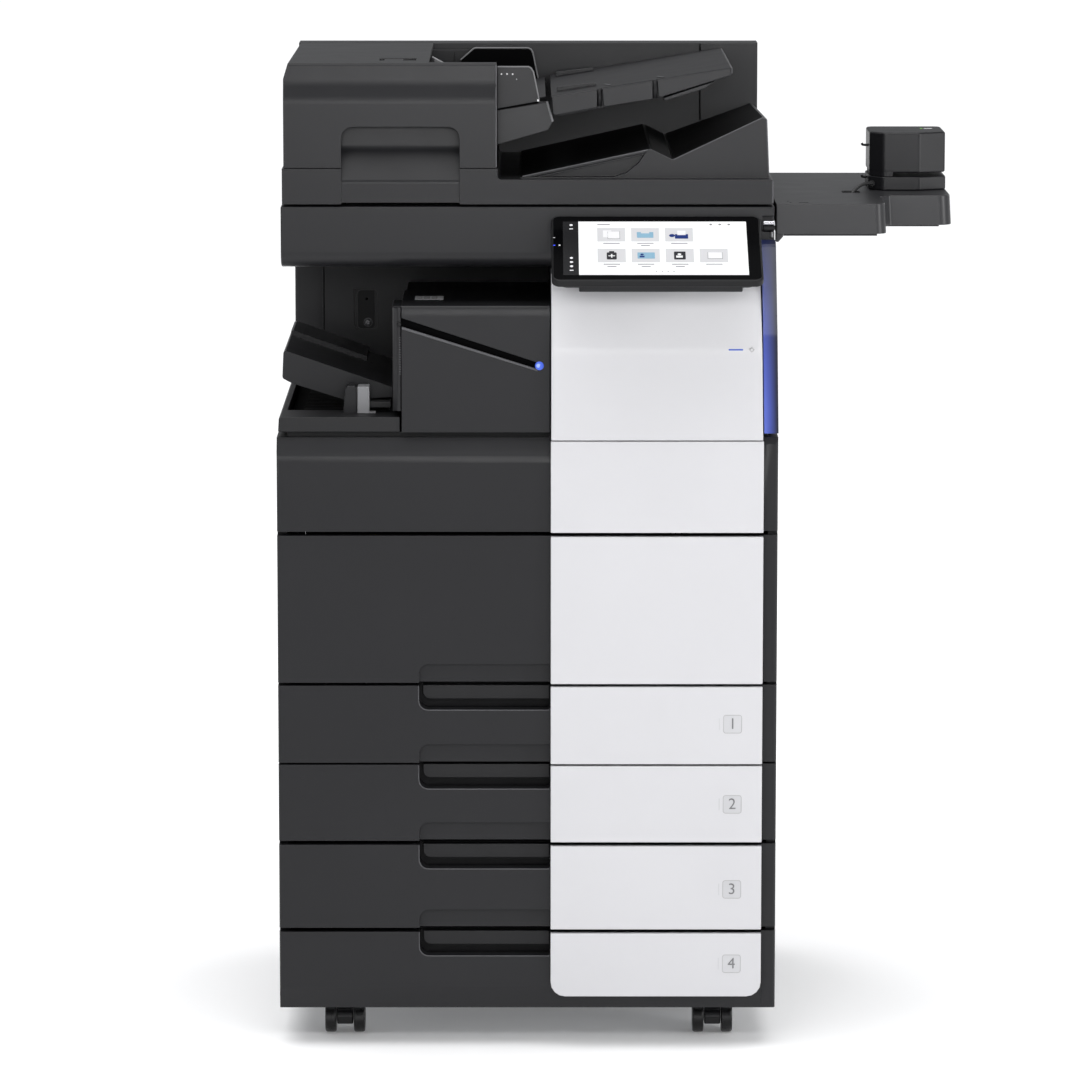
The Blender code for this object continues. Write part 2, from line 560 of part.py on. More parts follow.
def make_feed_path():
    """Feed mechanism under the cover, with the side plates beside the paper entry, and its roller."""
    block = prism("Y", [(-0.2860, 1.0935), (-0.0450, 1.0935), (-0.0450, 1.1330), (-0.0750, 1.1900),
                        (-0.2000, 1.2000), (-0.2860, 1.1700)], 0.0680, 0.4380)
    entry = [(-0.0800, 1.1150), (-0.0362, 1.1183), (0.0255, 1.1359, 0.002), (0.0310, 1.1464), (0.0245, 1.1705),
             (0.0140, 1.1712), (0.0075, 1.2049, 0.004), (0.0022, 1.2135, 0.002)]
    front_cheek = prism("Y", rounded([*entry, (-0.0380, 1.2135), (-0.0800, 1.1850)]), 0.0680, 0.0720)
    rear_cheek = prism("Y", rounded([*entry, (-0.0686, 1.2135), (-0.0858, 1.1996), (-0.0858, 1.1850)]),
                       0.4300, 0.4340)
    floor = prism("Y", [(-0.0500, 1.1180), (0.0260, 1.1395), (0.0260, 1.1460), (-0.0500, 1.1260)], 0.070, 0.432)
    x, z = ROLLER_AXIS
    bores = round_bar("Y", (x, z), 0.0034, 0.0695, 0.4325, 12)
    node("feeder_housing", cut(join(block, floor, front_cheek, rear_cheek), bores), black("feeder_housing"))
    roller = join(round_bar("Y", (x, z), 0.0140, 0.190, 0.310), round_bar("Y", (x, z), 0.0030, 0.0700, 0.4320, 12))
    node("feed_roller", roller, material("feed_roller_rubber", RUBBER, 0.8), (x, 0.25, z))


def tray_top(x):
    """Height of the document tray's upper face at x."""
    return 1.1784 + (x - 0.0275) * 0.1580


def make_document_tray():
    """Sloping document tray with its two sliding side guides, hinged at its inner end."""
    x0, x1 = 0.0290, 0.2500
    pivot = (TRAY_AXIS[0], 0.25, TRAY_AXIS[1])
    body = prism("Y", rounded([(0.0325, 1.1575, 0.003), (0.0400, 1.1542), (0.1600, 1.1765), (x1, 1.2045, 0.002),
                               (x1, tray_top(x1), 0.002), (x0, tray_top(x0)), (0.0310, 1.1700)]), *TRAY_Y)
    hollow = prism("Y", [(0.0500, 1.130), (0.2250, 1.150), (0.2250, tray_top(0.2250) - 0.0045),
                         (0.0500, tray_top(0.0500) - 0.0045)], TRAY_Y[0] + 0.006, TRAY_Y[1] - 0.006)
    node("document_tray", cut(body, hollow), black("document_tray"), pivot)
    low, high = x0 + 0.007, 0.085
    for name, y in (("front", 0.110), ("rear", 0.386)):
        guide = prism("Y", rounded([(low, tray_top(low) + 0.0005), (high, tray_top(high) + 0.0005),
                                    (high, tray_top(high) + 0.0045, 0.003), (low, tray_top(low) + 0.0065, 0.002)]),
                      y, y + 0.004)
        node("document_guide_" + name, guide, material("guide_%s_grey" % name, GREY, 0.4), (0.06, y, 1.19))


# ---------------------------------------------------------------- casters

def make_caster(name, x, y):
    """Twin-wheel swivel caster: a housing under the base and two wheels on one axle."""
    z = WHEEL_R
    inner = CASTER_HALF - WHEEL_T
    back = y + CASTER_TRAIL
    fork = prism("X", rounded([(back - 0.012, 0.0120, 0.006), (back + 0.012, 0.0120, 0.006),
                               (back + 0.014, 0.0400, 0.006), (y + 0.012, 0.0500), (y - 0.012, 0.0500),
                               (back - 0.022, 0.0380, 0.006)]), x - inner + 0.001, x + inner - 0.001)
    plate = round_bar("Z", (x, y), 0.0190, 0.0490, BASE_Z - 0.0006)
    bore = round_bar("X", (back, z), AXLE_R + 0.0004, x - 0.05, x + 0.05, 12)
    node("caster_housing_" + name, cut(join(fork, plate), bore), black("caster_housing_" + name), (x, y, z))
    wheels = [round_bar("X", (back, z), WHEEL_R, x + side * inner if side > 0 else x - CASTER_HALF,
                        x + CASTER_HALF if side > 0 else x - inner, 24) for side in (-1, 1)]
    axle = round_bar("X", (back, z), AXLE_R, x - CASTER_HALF + 0.002, x + CASTER_HALF - 0.002, 12)
    node("caster_wheels_" + name, join(axle, *wheels), material("caster_rubber_" + name, RUBBER, 0.6),
         (x, back, z))


# ---------------------------------------------------------------- side table and stapler

def stapler_plan(inset):
    """Plan of the stapler with a bevelled front, smaller all round by the inset."""
    left, right, front, back = 0.4300 + inset, 0.5268 - inset, 0.2360 + inset, 0.3460 - inset
    return rounded([(left, front + 0.022, 0.004), (left + 0.016, front, 0.004), (right - 0.034, front, 0.006),
                    (right, front + 0.020, 0.005), (right, back, 0.008), (left, back, 0.008)], 3)


def make_side_table():
    """Work table on the right side with the stapler on its rear lobe."""
    edge = SCANNER_HALF + 0.0030
    plan = rounded([(edge, TABLE_FRONT), (0.4405, TABLE_FRONT, 0.014), (0.4405, 0.155, 0.008),
                    (0.4530, 0.168, 0.006), (RIGHT, 0.168, 0.016), (RIGHT, TABLE_BACK, 0.020), (edge, TABLE_BACK)])
    table = prism("Z", plan, *TABLE_Z)
    middle_y = (TABLE_FRONT + TABLE_BACK) / 2.0
    for vert in table.verts:
        if vert.co.z > TABLE_Z[0] + 0.01 and vert.co.x > edge + 0.02:
            vert.co.x -= 0.0020
            vert.co.y += 0.0010 if vert.co.y < middle_y else -0.0010
    slit = box((0.3950, 0.4160), (0.2070, 0.2330), (TABLE_Z[1] - 0.020, TABLE_Z[1] + 0.01))
    foot = prism("Y", [(edge, 1.0000), (edge + 0.0030, 1.0000), (edge + 0.0090, 1.0070), (edge + 0.0090, 1.0110),
                       (edge, 1.0110)], 0.052, 0.080)
    node("work_table", cut(join(table, foot), slit), black("work_table"))

    base = prism("Z", stapler_plan(0.0), STAPLER_Z, STAPLER_SLOT[0])
    riser = prism("Z", rounded([(0.4330, 0.2600, 0.002), (0.4560, 0.2600, 0.002), (0.4560, 0.3440, 0.002),
                                (0.4330, 0.3440, 0.002)]), STAPLER_SLOT[0] - 0.002, STAPLER_SLOT[1] - 0.0006)
    node("stapler_base", join(base, riser), black("stapler_base"))
    pivot = (0.4765, *STAPLER_AXIS)
    head = prism("Z", stapler_plan(0.0008), STAPLER_SLOT[1], STAPLER_TOP)
    node("stapler_head", head, black("stapler_head"), pivot)


def make_cord():
    """Short stapler lead: out of the stapler's front left corner and down into the slit in the table."""
    route = [(0.4337, 0.2465, 1.0552), (0.4290, 0.2430, 1.0560), (0.4240, 0.2390, 1.0558),
             (0.4190, 0.2345, 1.0543), (0.4140, 0.2298, 1.0515), (0.4095, 0.2250, 1.0478),
             (0.4062, 0.2210, 1.0434), (0.4042, 0.2185, 1.0386), (0.4034, 0.2176, 1.0336)]
    curve = bpy.data.curves.new("stapler_cord", "CURVE")
    curve.dimensions = "3D"
    curve.bevel_depth = CORD_R
    curve.bevel_resolution = 2
    curve.use_fill_caps = True
    line = curve.splines.new("POLY")
    line.points.add(len(route) - 1)
    for point, place in zip(line.points, route):
        point.co = (*place, 1.0)
    curve.materials.append(material("stapler_cord_rubber", RUBBER, 0.6))
    cord = bpy.data.objects.new("stapler_cord", curve)
    bpy.context.scene.collection.objects.link(cord)
    cord.parent = bpy.data.objects["machine"]


def main():
    """Clear the scene and build every piece."""
    for thing in list(bpy.data.objects):
        bpy.data.objects.remove(thing)
    machine = bpy.data.objects.new("machine", None)
    bpy.context.scene.collection.objects.link(machine)
    machine.location = (-(LEFT + RIGHT) / 2.0, -(FRONT + REAR) / 2.0, 0.0)
    make_body()
    make_upper_body()
    make_scanner()
    make_doors()
    for number, (low, high) in enumerate(DRAWERS, start=1):
        make_drawer(number, low, high)
    make_side_door()
    make_inside()
    make_finisher()
    make_panel()
    make_feeder_base()
    make_feeder_cover()
    make_feed_path()
    make_document_tray()
    for name, (x, y) in CASTERS.items():
        make_caster(name, x, y)
    make_side_table()
    make_cord()


main()
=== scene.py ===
"""Looks of a floor-standing photocopier with an inner finisher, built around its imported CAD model.

Positions are metres in the body frame: x = 0 is the middle of the machine, y = 0 is the front face of its
doors and drawers and grows to the rear, z = 0 is the floor. HOME, read from the frame, moves that frame to
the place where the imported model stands.
"""

from math import atan2, cos, pi, radians, sin, tan

import bmesh
import bpy
from mathutils import Matrix, Vector
from mathutils.bvhtree import BVHTree


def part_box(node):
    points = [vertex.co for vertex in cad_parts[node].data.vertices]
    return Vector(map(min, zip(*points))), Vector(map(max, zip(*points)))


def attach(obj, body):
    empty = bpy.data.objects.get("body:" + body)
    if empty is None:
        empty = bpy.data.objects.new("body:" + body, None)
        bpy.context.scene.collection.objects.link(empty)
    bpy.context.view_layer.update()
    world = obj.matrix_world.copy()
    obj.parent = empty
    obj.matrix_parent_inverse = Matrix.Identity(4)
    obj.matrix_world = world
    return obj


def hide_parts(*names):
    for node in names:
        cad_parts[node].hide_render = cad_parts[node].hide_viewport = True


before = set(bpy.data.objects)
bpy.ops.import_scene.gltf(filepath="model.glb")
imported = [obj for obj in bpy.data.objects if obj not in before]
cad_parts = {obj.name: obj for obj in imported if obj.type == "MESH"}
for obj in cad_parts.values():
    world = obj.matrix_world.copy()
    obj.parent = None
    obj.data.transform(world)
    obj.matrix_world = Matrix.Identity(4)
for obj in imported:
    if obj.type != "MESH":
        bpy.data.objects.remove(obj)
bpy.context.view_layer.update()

MIDDLE_X = (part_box("left_side_cover")[0].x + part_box("right_side_cover")[1].x) / 2.0
HOME = Vector((MIDDLE_X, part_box("lower_door")[0].y, 0.0))


def local_box(node):
    """Lowest and highest corner of a CAD node in the body frame."""
    low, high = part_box(node)
    return low - HOME, high - HOME


# ---------------------------------------------------------------- outlines and meshes

def rounded(corners, steps=6):
    """Outline through the given corners, each (u, v) or (u, v, radius), with arcs at the rounded ones."""
    outline = []
    count = len(corners)
    for index, corner in enumerate(corners):
        here = Vector(corner[:2])
        radius = corner[2] if len(corner) > 2 else 0.0
        if radius <= 0.0:
            outline.append(tuple(here))
            continue
        back = (Vector(corners[index - 1][:2]) - here).normalized()
        ahead = (Vector(corners[(index + 1) % count][:2]) - here).normalized()
        half_angle = back.angle(ahead) / 2.0
        centre = here + (back + ahead).normalized() * (radius / sin(half_angle))
        start = here + back * (radius / tan(half_angle)) - centre
        end = here + ahead * (radius / tan(half_angle)) - centre
        first = atan2(start.y, start.x)
        sweep = (atan2(end.y, end.x) - first + pi) % (2.0 * pi) - pi
        for step in range(steps + 1):
            angle = first + sweep * step / steps
            outline.append((centre.x + radius * cos(angle), centre.y + radius * sin(angle)))
    return outline


def rectangle(low_u, high_u, low_v, high_v, radius=0.0, steps=6):
    """Rectangular outline, with rounded corners if a radius is given."""
    return rounded([(low_u, low_v, radius), (high_u, low_v, radius), (high_u, high_v, radius),
                    (low_u, high_v, radius)], steps)


def circle(centre_u, centre_v, radius, sides=32):
    """Round outline."""
    turn = 2.0 * pi / sides
    return [(centre_u + radius * cos(turn * step), centre_v + radius * sin(turn * step))
            for step in range(sides)]


def row(start, step, count):
    """Evenly spaced places."""
    return [start + step * index for index in range(count)]


def shrunk(pair, rim):
    """The range without a rim at both ends."""
    return pair[0] + rim, pair[1] - rim


def prism(axis, outline, low, high):
    """Closed solid: an outline swept along X (outline in y, z), Y (in x, z) or Z (in x, y)."""
    place = {"X": lambda u, v, w: (w, u, v), "Y": lambda u, v, w: (u, w, v), "Z": lambda u, v, w: (u, v, w)}
    shape = bmesh.new()
    ends = [[shape.verts.new(place[axis](u, v, w)) for u, v in outline] for w in (low, high)]
    count = len(outline)
    for index in range(count):
        after = (index + 1) % count
        shape.faces.new((ends[0][index], ends[0][after], ends[1][after], ends[1][index]))
    shape.faces.new(reversed(ends[0]))
    shape.faces.new(ends[1])
    bmesh.ops.recalc_face_normals(shape, faces=shape.faces)
    return shape


def slab(x_range, y_range, z_range):
    """Rectangular solid, softened later by its piece's bevel."""
    (x0, x1), (y0, y1), (z0, z1) = x_range, y_range, z_range
    return prism("Z", [(x0, y0), (x1, y0), (x1, y1), (x0, y1)], z0, z1)


def turned(axis, centre, profile, sides=32):
    """Solid of revolution with flat ends: profile is (along, radius) points from one end to the other."""
    shape = bmesh.new()
    rings = []
    for along, radius in profile:
        ring = []
        for step in range(sides):
            angle = 2.0 * pi * step / sides
            u, v = radius * cos(angle), radius * sin(angle)
            offset = {"X": (along, u, v), "Y": (u, along, v), "Z": (u, v, along)}[axis]
            ring.append(shape.verts.new(Vector(centre) + Vector(offset)))
        rings.append(ring)
    for first, second in zip(rings, rings[1:]):
        for step in range(sides):
            after = (step + 1) % sides
            shape.faces.new((first[step], first[after], second[after], second[step]))
    shape.faces.new(reversed(rings[0]))
    shape.faces.new(rings[-1])
    bmesh.ops.recalc_face_normals(shape, faces=shape.faces)
    return shape


def merged(shapes):
    """Several closed shapes in one mesh, side by side."""
    whole = bmesh.new()
    for shape in shapes:
        mesh = bpy.data.meshes.new("step")
        shape.to_mesh(mesh)
        shape.free()
        whole.from_mesh(mesh)
        bpy.data.meshes.remove(mesh)
    return whole


def combine(shape, tool, operation):
    """The shape after an exact Boolean with the tool."""
    holders = []
    for part in (shape, tool):
        mesh = bpy.data.meshes.new("step")
        part.to_mesh(mesh)
        part.free()
        holder = bpy.data.objects.new("step", mesh)
        bpy.context.scene.collection.objects.link(holder)
        holders.append(holder)
    modifier = holders[0].modifiers.new("boolean", "BOOLEAN")
    modifier.operation = operation
    modifier.solver = "EXACT"
    modifier.object = holders[1]
    graph = bpy.context.evaluated_depsgraph_get()
    result = bmesh.new()
    result.from_mesh(bpy.data.meshes.new_from_object(holders[0].evaluated_get(graph)))
    for holder in holders:
        bpy.data.objects.remove(holder)
    bmesh.ops.remove_doubles(result, verts=result.verts, dist=0.00001)
    bmesh.ops.dissolve_limit(result, angle_limit=radians(0.2), verts=result.verts, edges=result.edges)
    return result


def cut(shape, *tools):
    """The shape with each tool taken out of it."""
    for tool in tools:
        shape = combine(shape, tool, "DIFFERENCE")
    return shape


def soften(thing, width, segments, angle=25.0):
    """Rounded edges and even shading, by modifiers."""
    if width > 0.0:
        bevel = thing.modifiers.new("edges", "BEVEL")
        bevel.width = width
        bevel.segments = segments
        bevel.limit_method = "ANGLE"
        bevel.angle_limit = radians(angle)
        bevel.miter_outer = "MITER_ARC"
    normals = thing.modifiers.new("normals", "WEIGHTED_NORMAL")
    normals.weight = 60
    normals.keep_sharp = False


def piece(name, shape, look, body="root", slot="dark_plastic", bevel=0.0, segments=2, hides=(), place=None):
    """A visible piece on a CAD body, from a shape in the body frame or in one that place moves there."""
    if place is not None:
        bmesh.ops.transform(shape, matrix=place, verts=shape.verts)
    bmesh.ops.translate(shape, verts=shape.verts, vec=HOME)
    for face in shape.faces:
        face.smooth = True
    mesh = bpy.data.meshes.new(name)
    shape.to_mesh(mesh)
    shape.free()
    mesh.materials.append(LOOKS[look])
    made = bpy.data.objects.new(name, mesh)
    bpy.context.scene.collection.objects.link(made)
    soften(made, bevel, segments)
    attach(made, body)
    if hides:
        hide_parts(*hides)
    return made


def block(name, x_range, y_range, z_range, look, *rides, **edges):
    """A piece that is one rectangular solid; rides holds its body and slot, and the slot is not used."""
    piece(name, slab(x_range, y_range, z_range), look, *rides, **edges)


def ray_y(node, x, z):
    """y of the frontmost point of a CAD node at that x and z, in the body frame."""
    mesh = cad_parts[node].data
    tree = BVHTree.FromPolygons([v.co for v in mesh.vertices], [p.vertices for p in mesh.polygons])
    start = Vector((x, -1.0, z)) + HOME
    place = tree.ray_cast(start, Vector((0.0, 1.0, 0.0)))[0]
    return place.y - HOME.y


def ring_plate(axis, outer, inner, low, high):
    """Flat ring between two outlines of equal point count."""
    ring = prism(axis, outer, low, high)
    hole = prism(axis, inner, low - 0.001, high + 0.001)
    return cut(ring, hole)


def wire(name, points, radius, look, body="root"):
    """A visible piece: thin round bead along the points."""
    curve = bpy.data.curves.new(name, "CURVE")
    curve.dimensions = "3D"
    curve.bevel_depth = radius
    curve.bevel_resolution = 3
    curve.use_fill_caps = True
    line = curve.splines.new("POLY")
    line.points.add(len(points) - 1)
    for point, place in zip(line.points, points):
        point.co = (*(Vector(place) + HOME), 1.0)
    line.use_smooth = True
    holder = bpy.data.objects.new("bead", curve)
    bpy.context.scene.collection.objects.link(holder)
    bpy.context.view_layer.update()
    mesh = bpy.data.meshes.new_from_object(holder)
    bpy.data.objects.remove(holder)
    mesh.materials.clear()
    mesh.materials.append(LOOKS[look])
    made = bpy.data.objects.new(name, mesh)
    bpy.context.scene.collection.objects.link(made)
    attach(made, body)
    return made


# ---------------------------------------------------------------- camera, light and floor

CAMERA_PLACE = (0.0, -6.850, 1.662)     # in the body frame
CAMERA_TILT = 81.5                      # degrees from looking straight down
CAMERA_LENS = 188.2
CAMERA_SHIFT = 12.5 / 1080.0            # sideways, as the framing needs
WORLD_LIGHT = 0.30
OVERHEAD_LIGHT = 2.50
OVERHEAD_TILT = (radians(9.0), radians(-5.0), 0.0)
OVERHEAD_SPREAD = radians(60.0)
FLOOR_SIZE = 40.0
FLOOR_GLOW = 0.10
LIGHTS = (                              # name, place, target, width, height, watts
    ("front", (-0.4, -4.6, 2.5), (0.0, 0.0, 0.9), 3.6, 1.6, 5.0),
    ("upper_front", (0.25, -1.9, 1.36), (0.05, 0.1, 1.10), 1.6, 0.3, 15.0),
    ("right_strip", (4.4, -2.6, 1.7), (0.2, 0.0, 0.9), 0.9, 2.6, 90.0),
    ("rear_left", (-3.0, 4.2, 2.4), (0.0, 0.3, 0.8), 2.4, 2.4, 45.0),
    ("rear_right", (3.0, 4.2, 2.4), (0.0, 0.3, 0.8), 2.4, 2.4, 45.0),
)


def make_camera():
    """Camera in front of the machine, a little above its top and tilted down."""
    data = bpy.data.cameras.new("camera")
    data.lens = CAMERA_LENS
    data.sensor_width = 36.0
    data.shift_x = CAMERA_SHIFT
    data.clip_end = 50.0
    camera = bpy.data.objects.new("camera", data)
    camera.location = Vector(CAMERA_PLACE) + HOME
    camera.rotation_euler = (radians(CAMERA_TILT), 0.0, 0.0)
    bpy.context.scene.collection.objects.link(camera)
    bpy.context.scene.camera = camera


def area_light(name, place, target, width, height, power):
    """Soft rectangular light aimed at a point."""
    data = bpy.data.lights.new(name, "AREA")
    data.shape = "RECTANGLE"
    data.size = width
    data.size_y = height
    data.energy = power
    light = bpy.data.objects.new(name, data)
    light.location = Vector(place) + HOME
    aim = Vector(target) - Vector(place)
    light.rotation_euler = aim.to_track_quat("-Z", "Y").to_euler()
    light.visible_camera = False
    bpy.context.scene.collection.objects.link(light)


def make_studio():
    """Pale floor, even pale surroundings and large soft lights."""
    world = bpy.data.worlds.new("studio")
    world.use_nodes = True
    world.node_tree.nodes["Background"].inputs["Color"].default_value = (0.96, 0.975, 1.0, 1.0)
    world.node_tree.nodes["Background"].inputs["Strength"].default_value = WORLD_LIGHT
    bpy.context.scene.world = world
    sun = bpy.data.lights.new("overhead", "SUN")
    sun.energy = OVERHEAD_LIGHT
    sun.angle = OVERHEAD_SPREAD
    overhead = bpy.data.objects.new("overhead", sun)
    overhead.rotation_euler = OVERHEAD_TILT
    bpy.context.scene.collection.objects.link(overhead)
    for values in LIGHTS:
        area_light(*values)

    shape = bmesh.new()
    bmesh.ops.create_grid(shape, x_segments=1, y_segments=1, size=FLOOR_SIZE)
    mesh = bpy.data.meshes.new("floor")
    shape.to_mesh(mesh)
    shape.free()
    mesh.materials.append(lit("floor_paint", (0.93, 0.93, 0.935), FLOOR_GLOW, tint=0.01, roughness=0.9))
    floor = bpy.data.objects.new("floor", mesh)
    bpy.context.scene.collection.objects.link(floor)


# ---------------------------------------------------------------- materials

def shade(colour, factor):
    """The colour made lighter or darker by a factor."""
    return tuple(min(1.0, channel * factor) for channel in colour)


def add_noise(tree, scale, detail):
    """Noise over the piece's own coordinates."""
    place = tree.nodes.new("ShaderNodeTexCoord")
    noise = tree.nodes.new("ShaderNodeTexNoise")
    noise.inputs["Scale"].default_value = scale
    noise.inputs["Detail"].default_value = detail
    tree.links.new(place.outputs["Object"], noise.inputs["Vector"])
    return noise


def add_range(tree, source, low, high, from_low=0.3, from_high=0.7):
    """The source value spread from low to high."""
    spread = tree.nodes.new("ShaderNodeMapRange")
    spread.inputs["From Min"].default_value = from_low
    spread.inputs["From Max"].default_value = from_high
    spread.inputs["To Min"].default_value = low
    spread.inputs["To Max"].default_value = high
    tree.links.new(source, spread.inputs["Value"])
    return spread.outputs["Result"]


def plastic(name, colour, roughness, tint=0.05, grain=1400.0, bump=0.10, specular=0.45, coat=0.0,
            metallic=0.0, gloss_spread=0.015):
    """Moulded plastic or sheet: slow changes of colour and gloss, and a fine grain in its bump."""
    look = bpy.data.materials.new(name)
    look.use_nodes = True
    tree = look.node_tree
    shader = tree.nodes["Principled BSDF"]
    shader.inputs["Metallic"].default_value = metallic
    shader.inputs["Specular IOR Level"].default_value = specular
    shader.inputs["Coat Weight"].default_value = coat
    shader.inputs["Coat Roughness"].default_value = 0.06
    cloud = add_noise(tree, 7.0, 4.0)
    mix = tree.nodes.new("ShaderNodeMix")
    mix.data_type = "RGBA"
    mix.inputs["A"].default_value = (*shade(colour, 1.0 - tint), 1.0)
    mix.inputs["B"].default_value = (*shade(colour, 1.0 + tint), 1.0)
    tree.links.new(add_range(tree, cloud.outputs["Fac"], 0.0, 1.0), mix.inputs["Factor"])
    tree.links.new(mix.outputs["Result"], shader.inputs["Base Color"])
    patch = add_noise(tree, 24.0, 3.0)
    tree.links.new(add_range(tree, patch.outputs["Fac"], roughness - gloss_spread, roughness + gloss_spread),
                   shader.inputs["Roughness"])
    if bump > 0.0:
        fine = add_noise(tree, grain, 2.0)
        raise_grain = tree.nodes.new("ShaderNodeBump")
        raise_grain.inputs["Strength"].default_value = bump
        raise_grain.inputs["Distance"].default_value = 0.0002
        tree.links.new(fine.outputs["Fac"], raise_grain.inputs["Height"])
        tree.links.new(raise_grain.outputs["Normal"], shader.inputs["Normal"])
    return look


def lit(name, colour, strength, tint=0.03, roughness=0.2):
    """Lit surface, such as a display page or a lamp, with a slight unevenness."""
    look = plastic(name, colour, roughness, tint=tint, bump=0.0, specular=0.3)
    tree = look.node_tree
    shader = tree.nodes["Principled BSDF"]
    tree.links.new(tree.nodes["Mix"].outputs["Result"], shader.inputs["Emission Color"])
    shader.inputs["Emission Strength"].default_value = strength
    return look


def blue_cover_look(name):
    """Glossy blue cover with painted light: brightest beside the white cover, and painted shade fading dark
    to its outer edge and its top.
    """
    look = plastic(name, (0.02, 0.05, 0.5), 0.30, tint=0.1, bump=0.03, specular=0.3)
    tree = look.node_tree
    shader = tree.nodes["Principled BSDF"]
    low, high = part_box("side_accent_cover")
    place = tree.nodes.new("ShaderNodeTexCoord")
    split = tree.nodes.new("ShaderNodeSeparateXYZ")
    tree.links.new(place.outputs["Object"], split.inputs["Vector"])
    across = tree.nodes.new("ShaderNodeMath")
    across.operation = "MULTIPLY_ADD"
    across.inputs[1].default_value = 0.018
    tree.links.new(split.outputs["Z"], across.inputs[0])
    tree.links.new(split.outputs["X"], across.inputs[2])
    lean = low.z * 0.018
    outward = add_range(tree, across.outputs["Value"], 1.0, 0.0, low.x + lean, high.x + lean - 0.002)
    upward = add_range(tree, split.outputs["Z"], 1.0, 0.0, 0.80, high.z + 0.02)
    glow = tree.nodes.new("ShaderNodeMath")
    glow.operation = "MULTIPLY"
    tree.links.new(outward, glow.inputs[0])
    tree.links.new(upward, glow.inputs[1])
    # painted light: dark blue at the outer edge and the top, bright blue beside the white cover
    ramp = tree.nodes.new("ShaderNodeValToRGB")
    ramp.color_ramp.elements[0].color = (0.010, 0.012, 0.030, 1.0)
    ramp.color_ramp.elements[1].color = (0.12, 0.17, 0.60, 1.0)
    middle = ramp.color_ramp.elements.new(0.45)
    middle.color = (0.050, 0.075, 0.33, 1.0)
    tree.links.new(glow.outputs["Value"], ramp.inputs["Fac"])
    tree.links.new(ramp.outputs["Color"], shader.inputs["Base Color"])
    return look


BLACK = (0.0100, 0.0100, 0.0115)
GREY = (0.075, 0.075, 0.078)
WHITE = (0.545, 0.543, 0.560)
INKS = {"yellow": (0.68, 0.46, 0.012), "magenta": (0.42, 0.018, 0.14), "cyan": (0.012, 0.26, 0.48),
        "black": (0.018, 0.018, 0.02)}
# Copies of the one black plastic made darker or lighter, marked below, are painted light; the rest are the
# parts' own colours.
TONES_AND_PAINTED_LIGHT = {                # colour, roughness and specular level
    # painted shade: near-black in openings, slots, holes, grooves and gaps; also the dark seam lines
    "void": ((0.0012, 0.0012, 0.0014), 0.85, 0.05),
    # painted shade on the output ramps
    "ramp_painted_shade": ((0.0014, 0.0014, 0.0017), 0.70, 0.10),
    # painted shade in grip pockets, the table slit and the steps of the document tray; also small dark parts
    "deep_black": ((0.0040, 0.0040, 0.0048), 0.50, 0.25),
    # painted shade: a darker black in grip pockets and on deep housings
    "grip_black": ((0.0060, 0.0060, 0.0070), 0.48, 0.35),
    # painted shade on the document tray's top and the entry ledge
    "tray_black": ((0.0075, 0.0075, 0.0090), 0.55, 0.35),
    "plate_black": ((0.0085, 0.0085, 0.0100), 0.42, 0.4),
    # painted light: a lighter black on the work table
    "table_black": ((0.019, 0.019, 0.021), 0.36, 0.4),
    "mid_black": ((0.020, 0.020, 0.022), 0.42, 0.4),
    # painted highlight on edges and round a screw; also size marks and teeth
    "highlight_and_mark_grey": ((0.055, 0.055, 0.060), 0.38, 0.5),
    # also painted highlight beads on the entry plates' edges
    "mid_grey": ((0.15, 0.15, 0.155), 0.42, 0.4),
    "badge_ink": ((0.16, 0.16, 0.165), 0.45, 0.4),
    "stop_grey": ((0.24, 0.24, 0.25), 0.45, 0.4),
    "label_grey": ((0.34, 0.34, 0.345), 0.50, 0.4),
    "badge_grey": ((0.36, 0.36, 0.365), 0.40, 0.4),
    # also a painted highlight on the flap's top edge
    "pale_grey": ((0.42, 0.42, 0.43), 0.45, 0.4),
    "badge_field": ((0.50, 0.50, 0.515), 0.40, 0.4),
    "pad_white": ((0.78, 0.78, 0.79), 0.60, 0.3),
    "lamp_white": ((0.80, 0.80, 0.81), 0.35, 0.4),
    "paper": ((0.86, 0.86, 0.85), 0.70, 0.2),
}
GLOWS = {                   # colour and strength of what is lit
    "display_page": ((0.50, 0.505, 0.51), 0.92),
    "side_bar_page": ((0.010, 0.010, 0.011), 0.2),
    "tile_page": ((0.345, 0.345, 0.355), 0.85),
    "bar_mark_page": ((0.60, 0.60, 0.62), 0.3),
    "page_ink_paper": ((0.56, 0.56, 0.57), 0.45),
    "page_ink_line": ((0.16, 0.16, 0.17), 0.45),
    "page_ink_dark": ((0.022, 0.022, 0.025), 0.45),
    "page_ink_navy": ((0.012, 0.025, 0.12), 0.45),
    "page_ink_sky": ((0.17, 0.29, 0.38), 0.45),
    "page_ink_green": ((0.08, 0.18, 0.05), 0.45),
    "lamp_blue": ((0.03, 0.06, 0.75), 1.2),
    "lamp_green": ((0.18, 0.50, 0.05), 0.5),
    "status_line_glow": ((0.035, 0.075, 0.34), 0.4),
    # painted highlight on the finisher's lens dome, which glows though it is no lamp
    "lens_painted_highlight": ((0.24, 0.33, 0.62), 0.4),
}


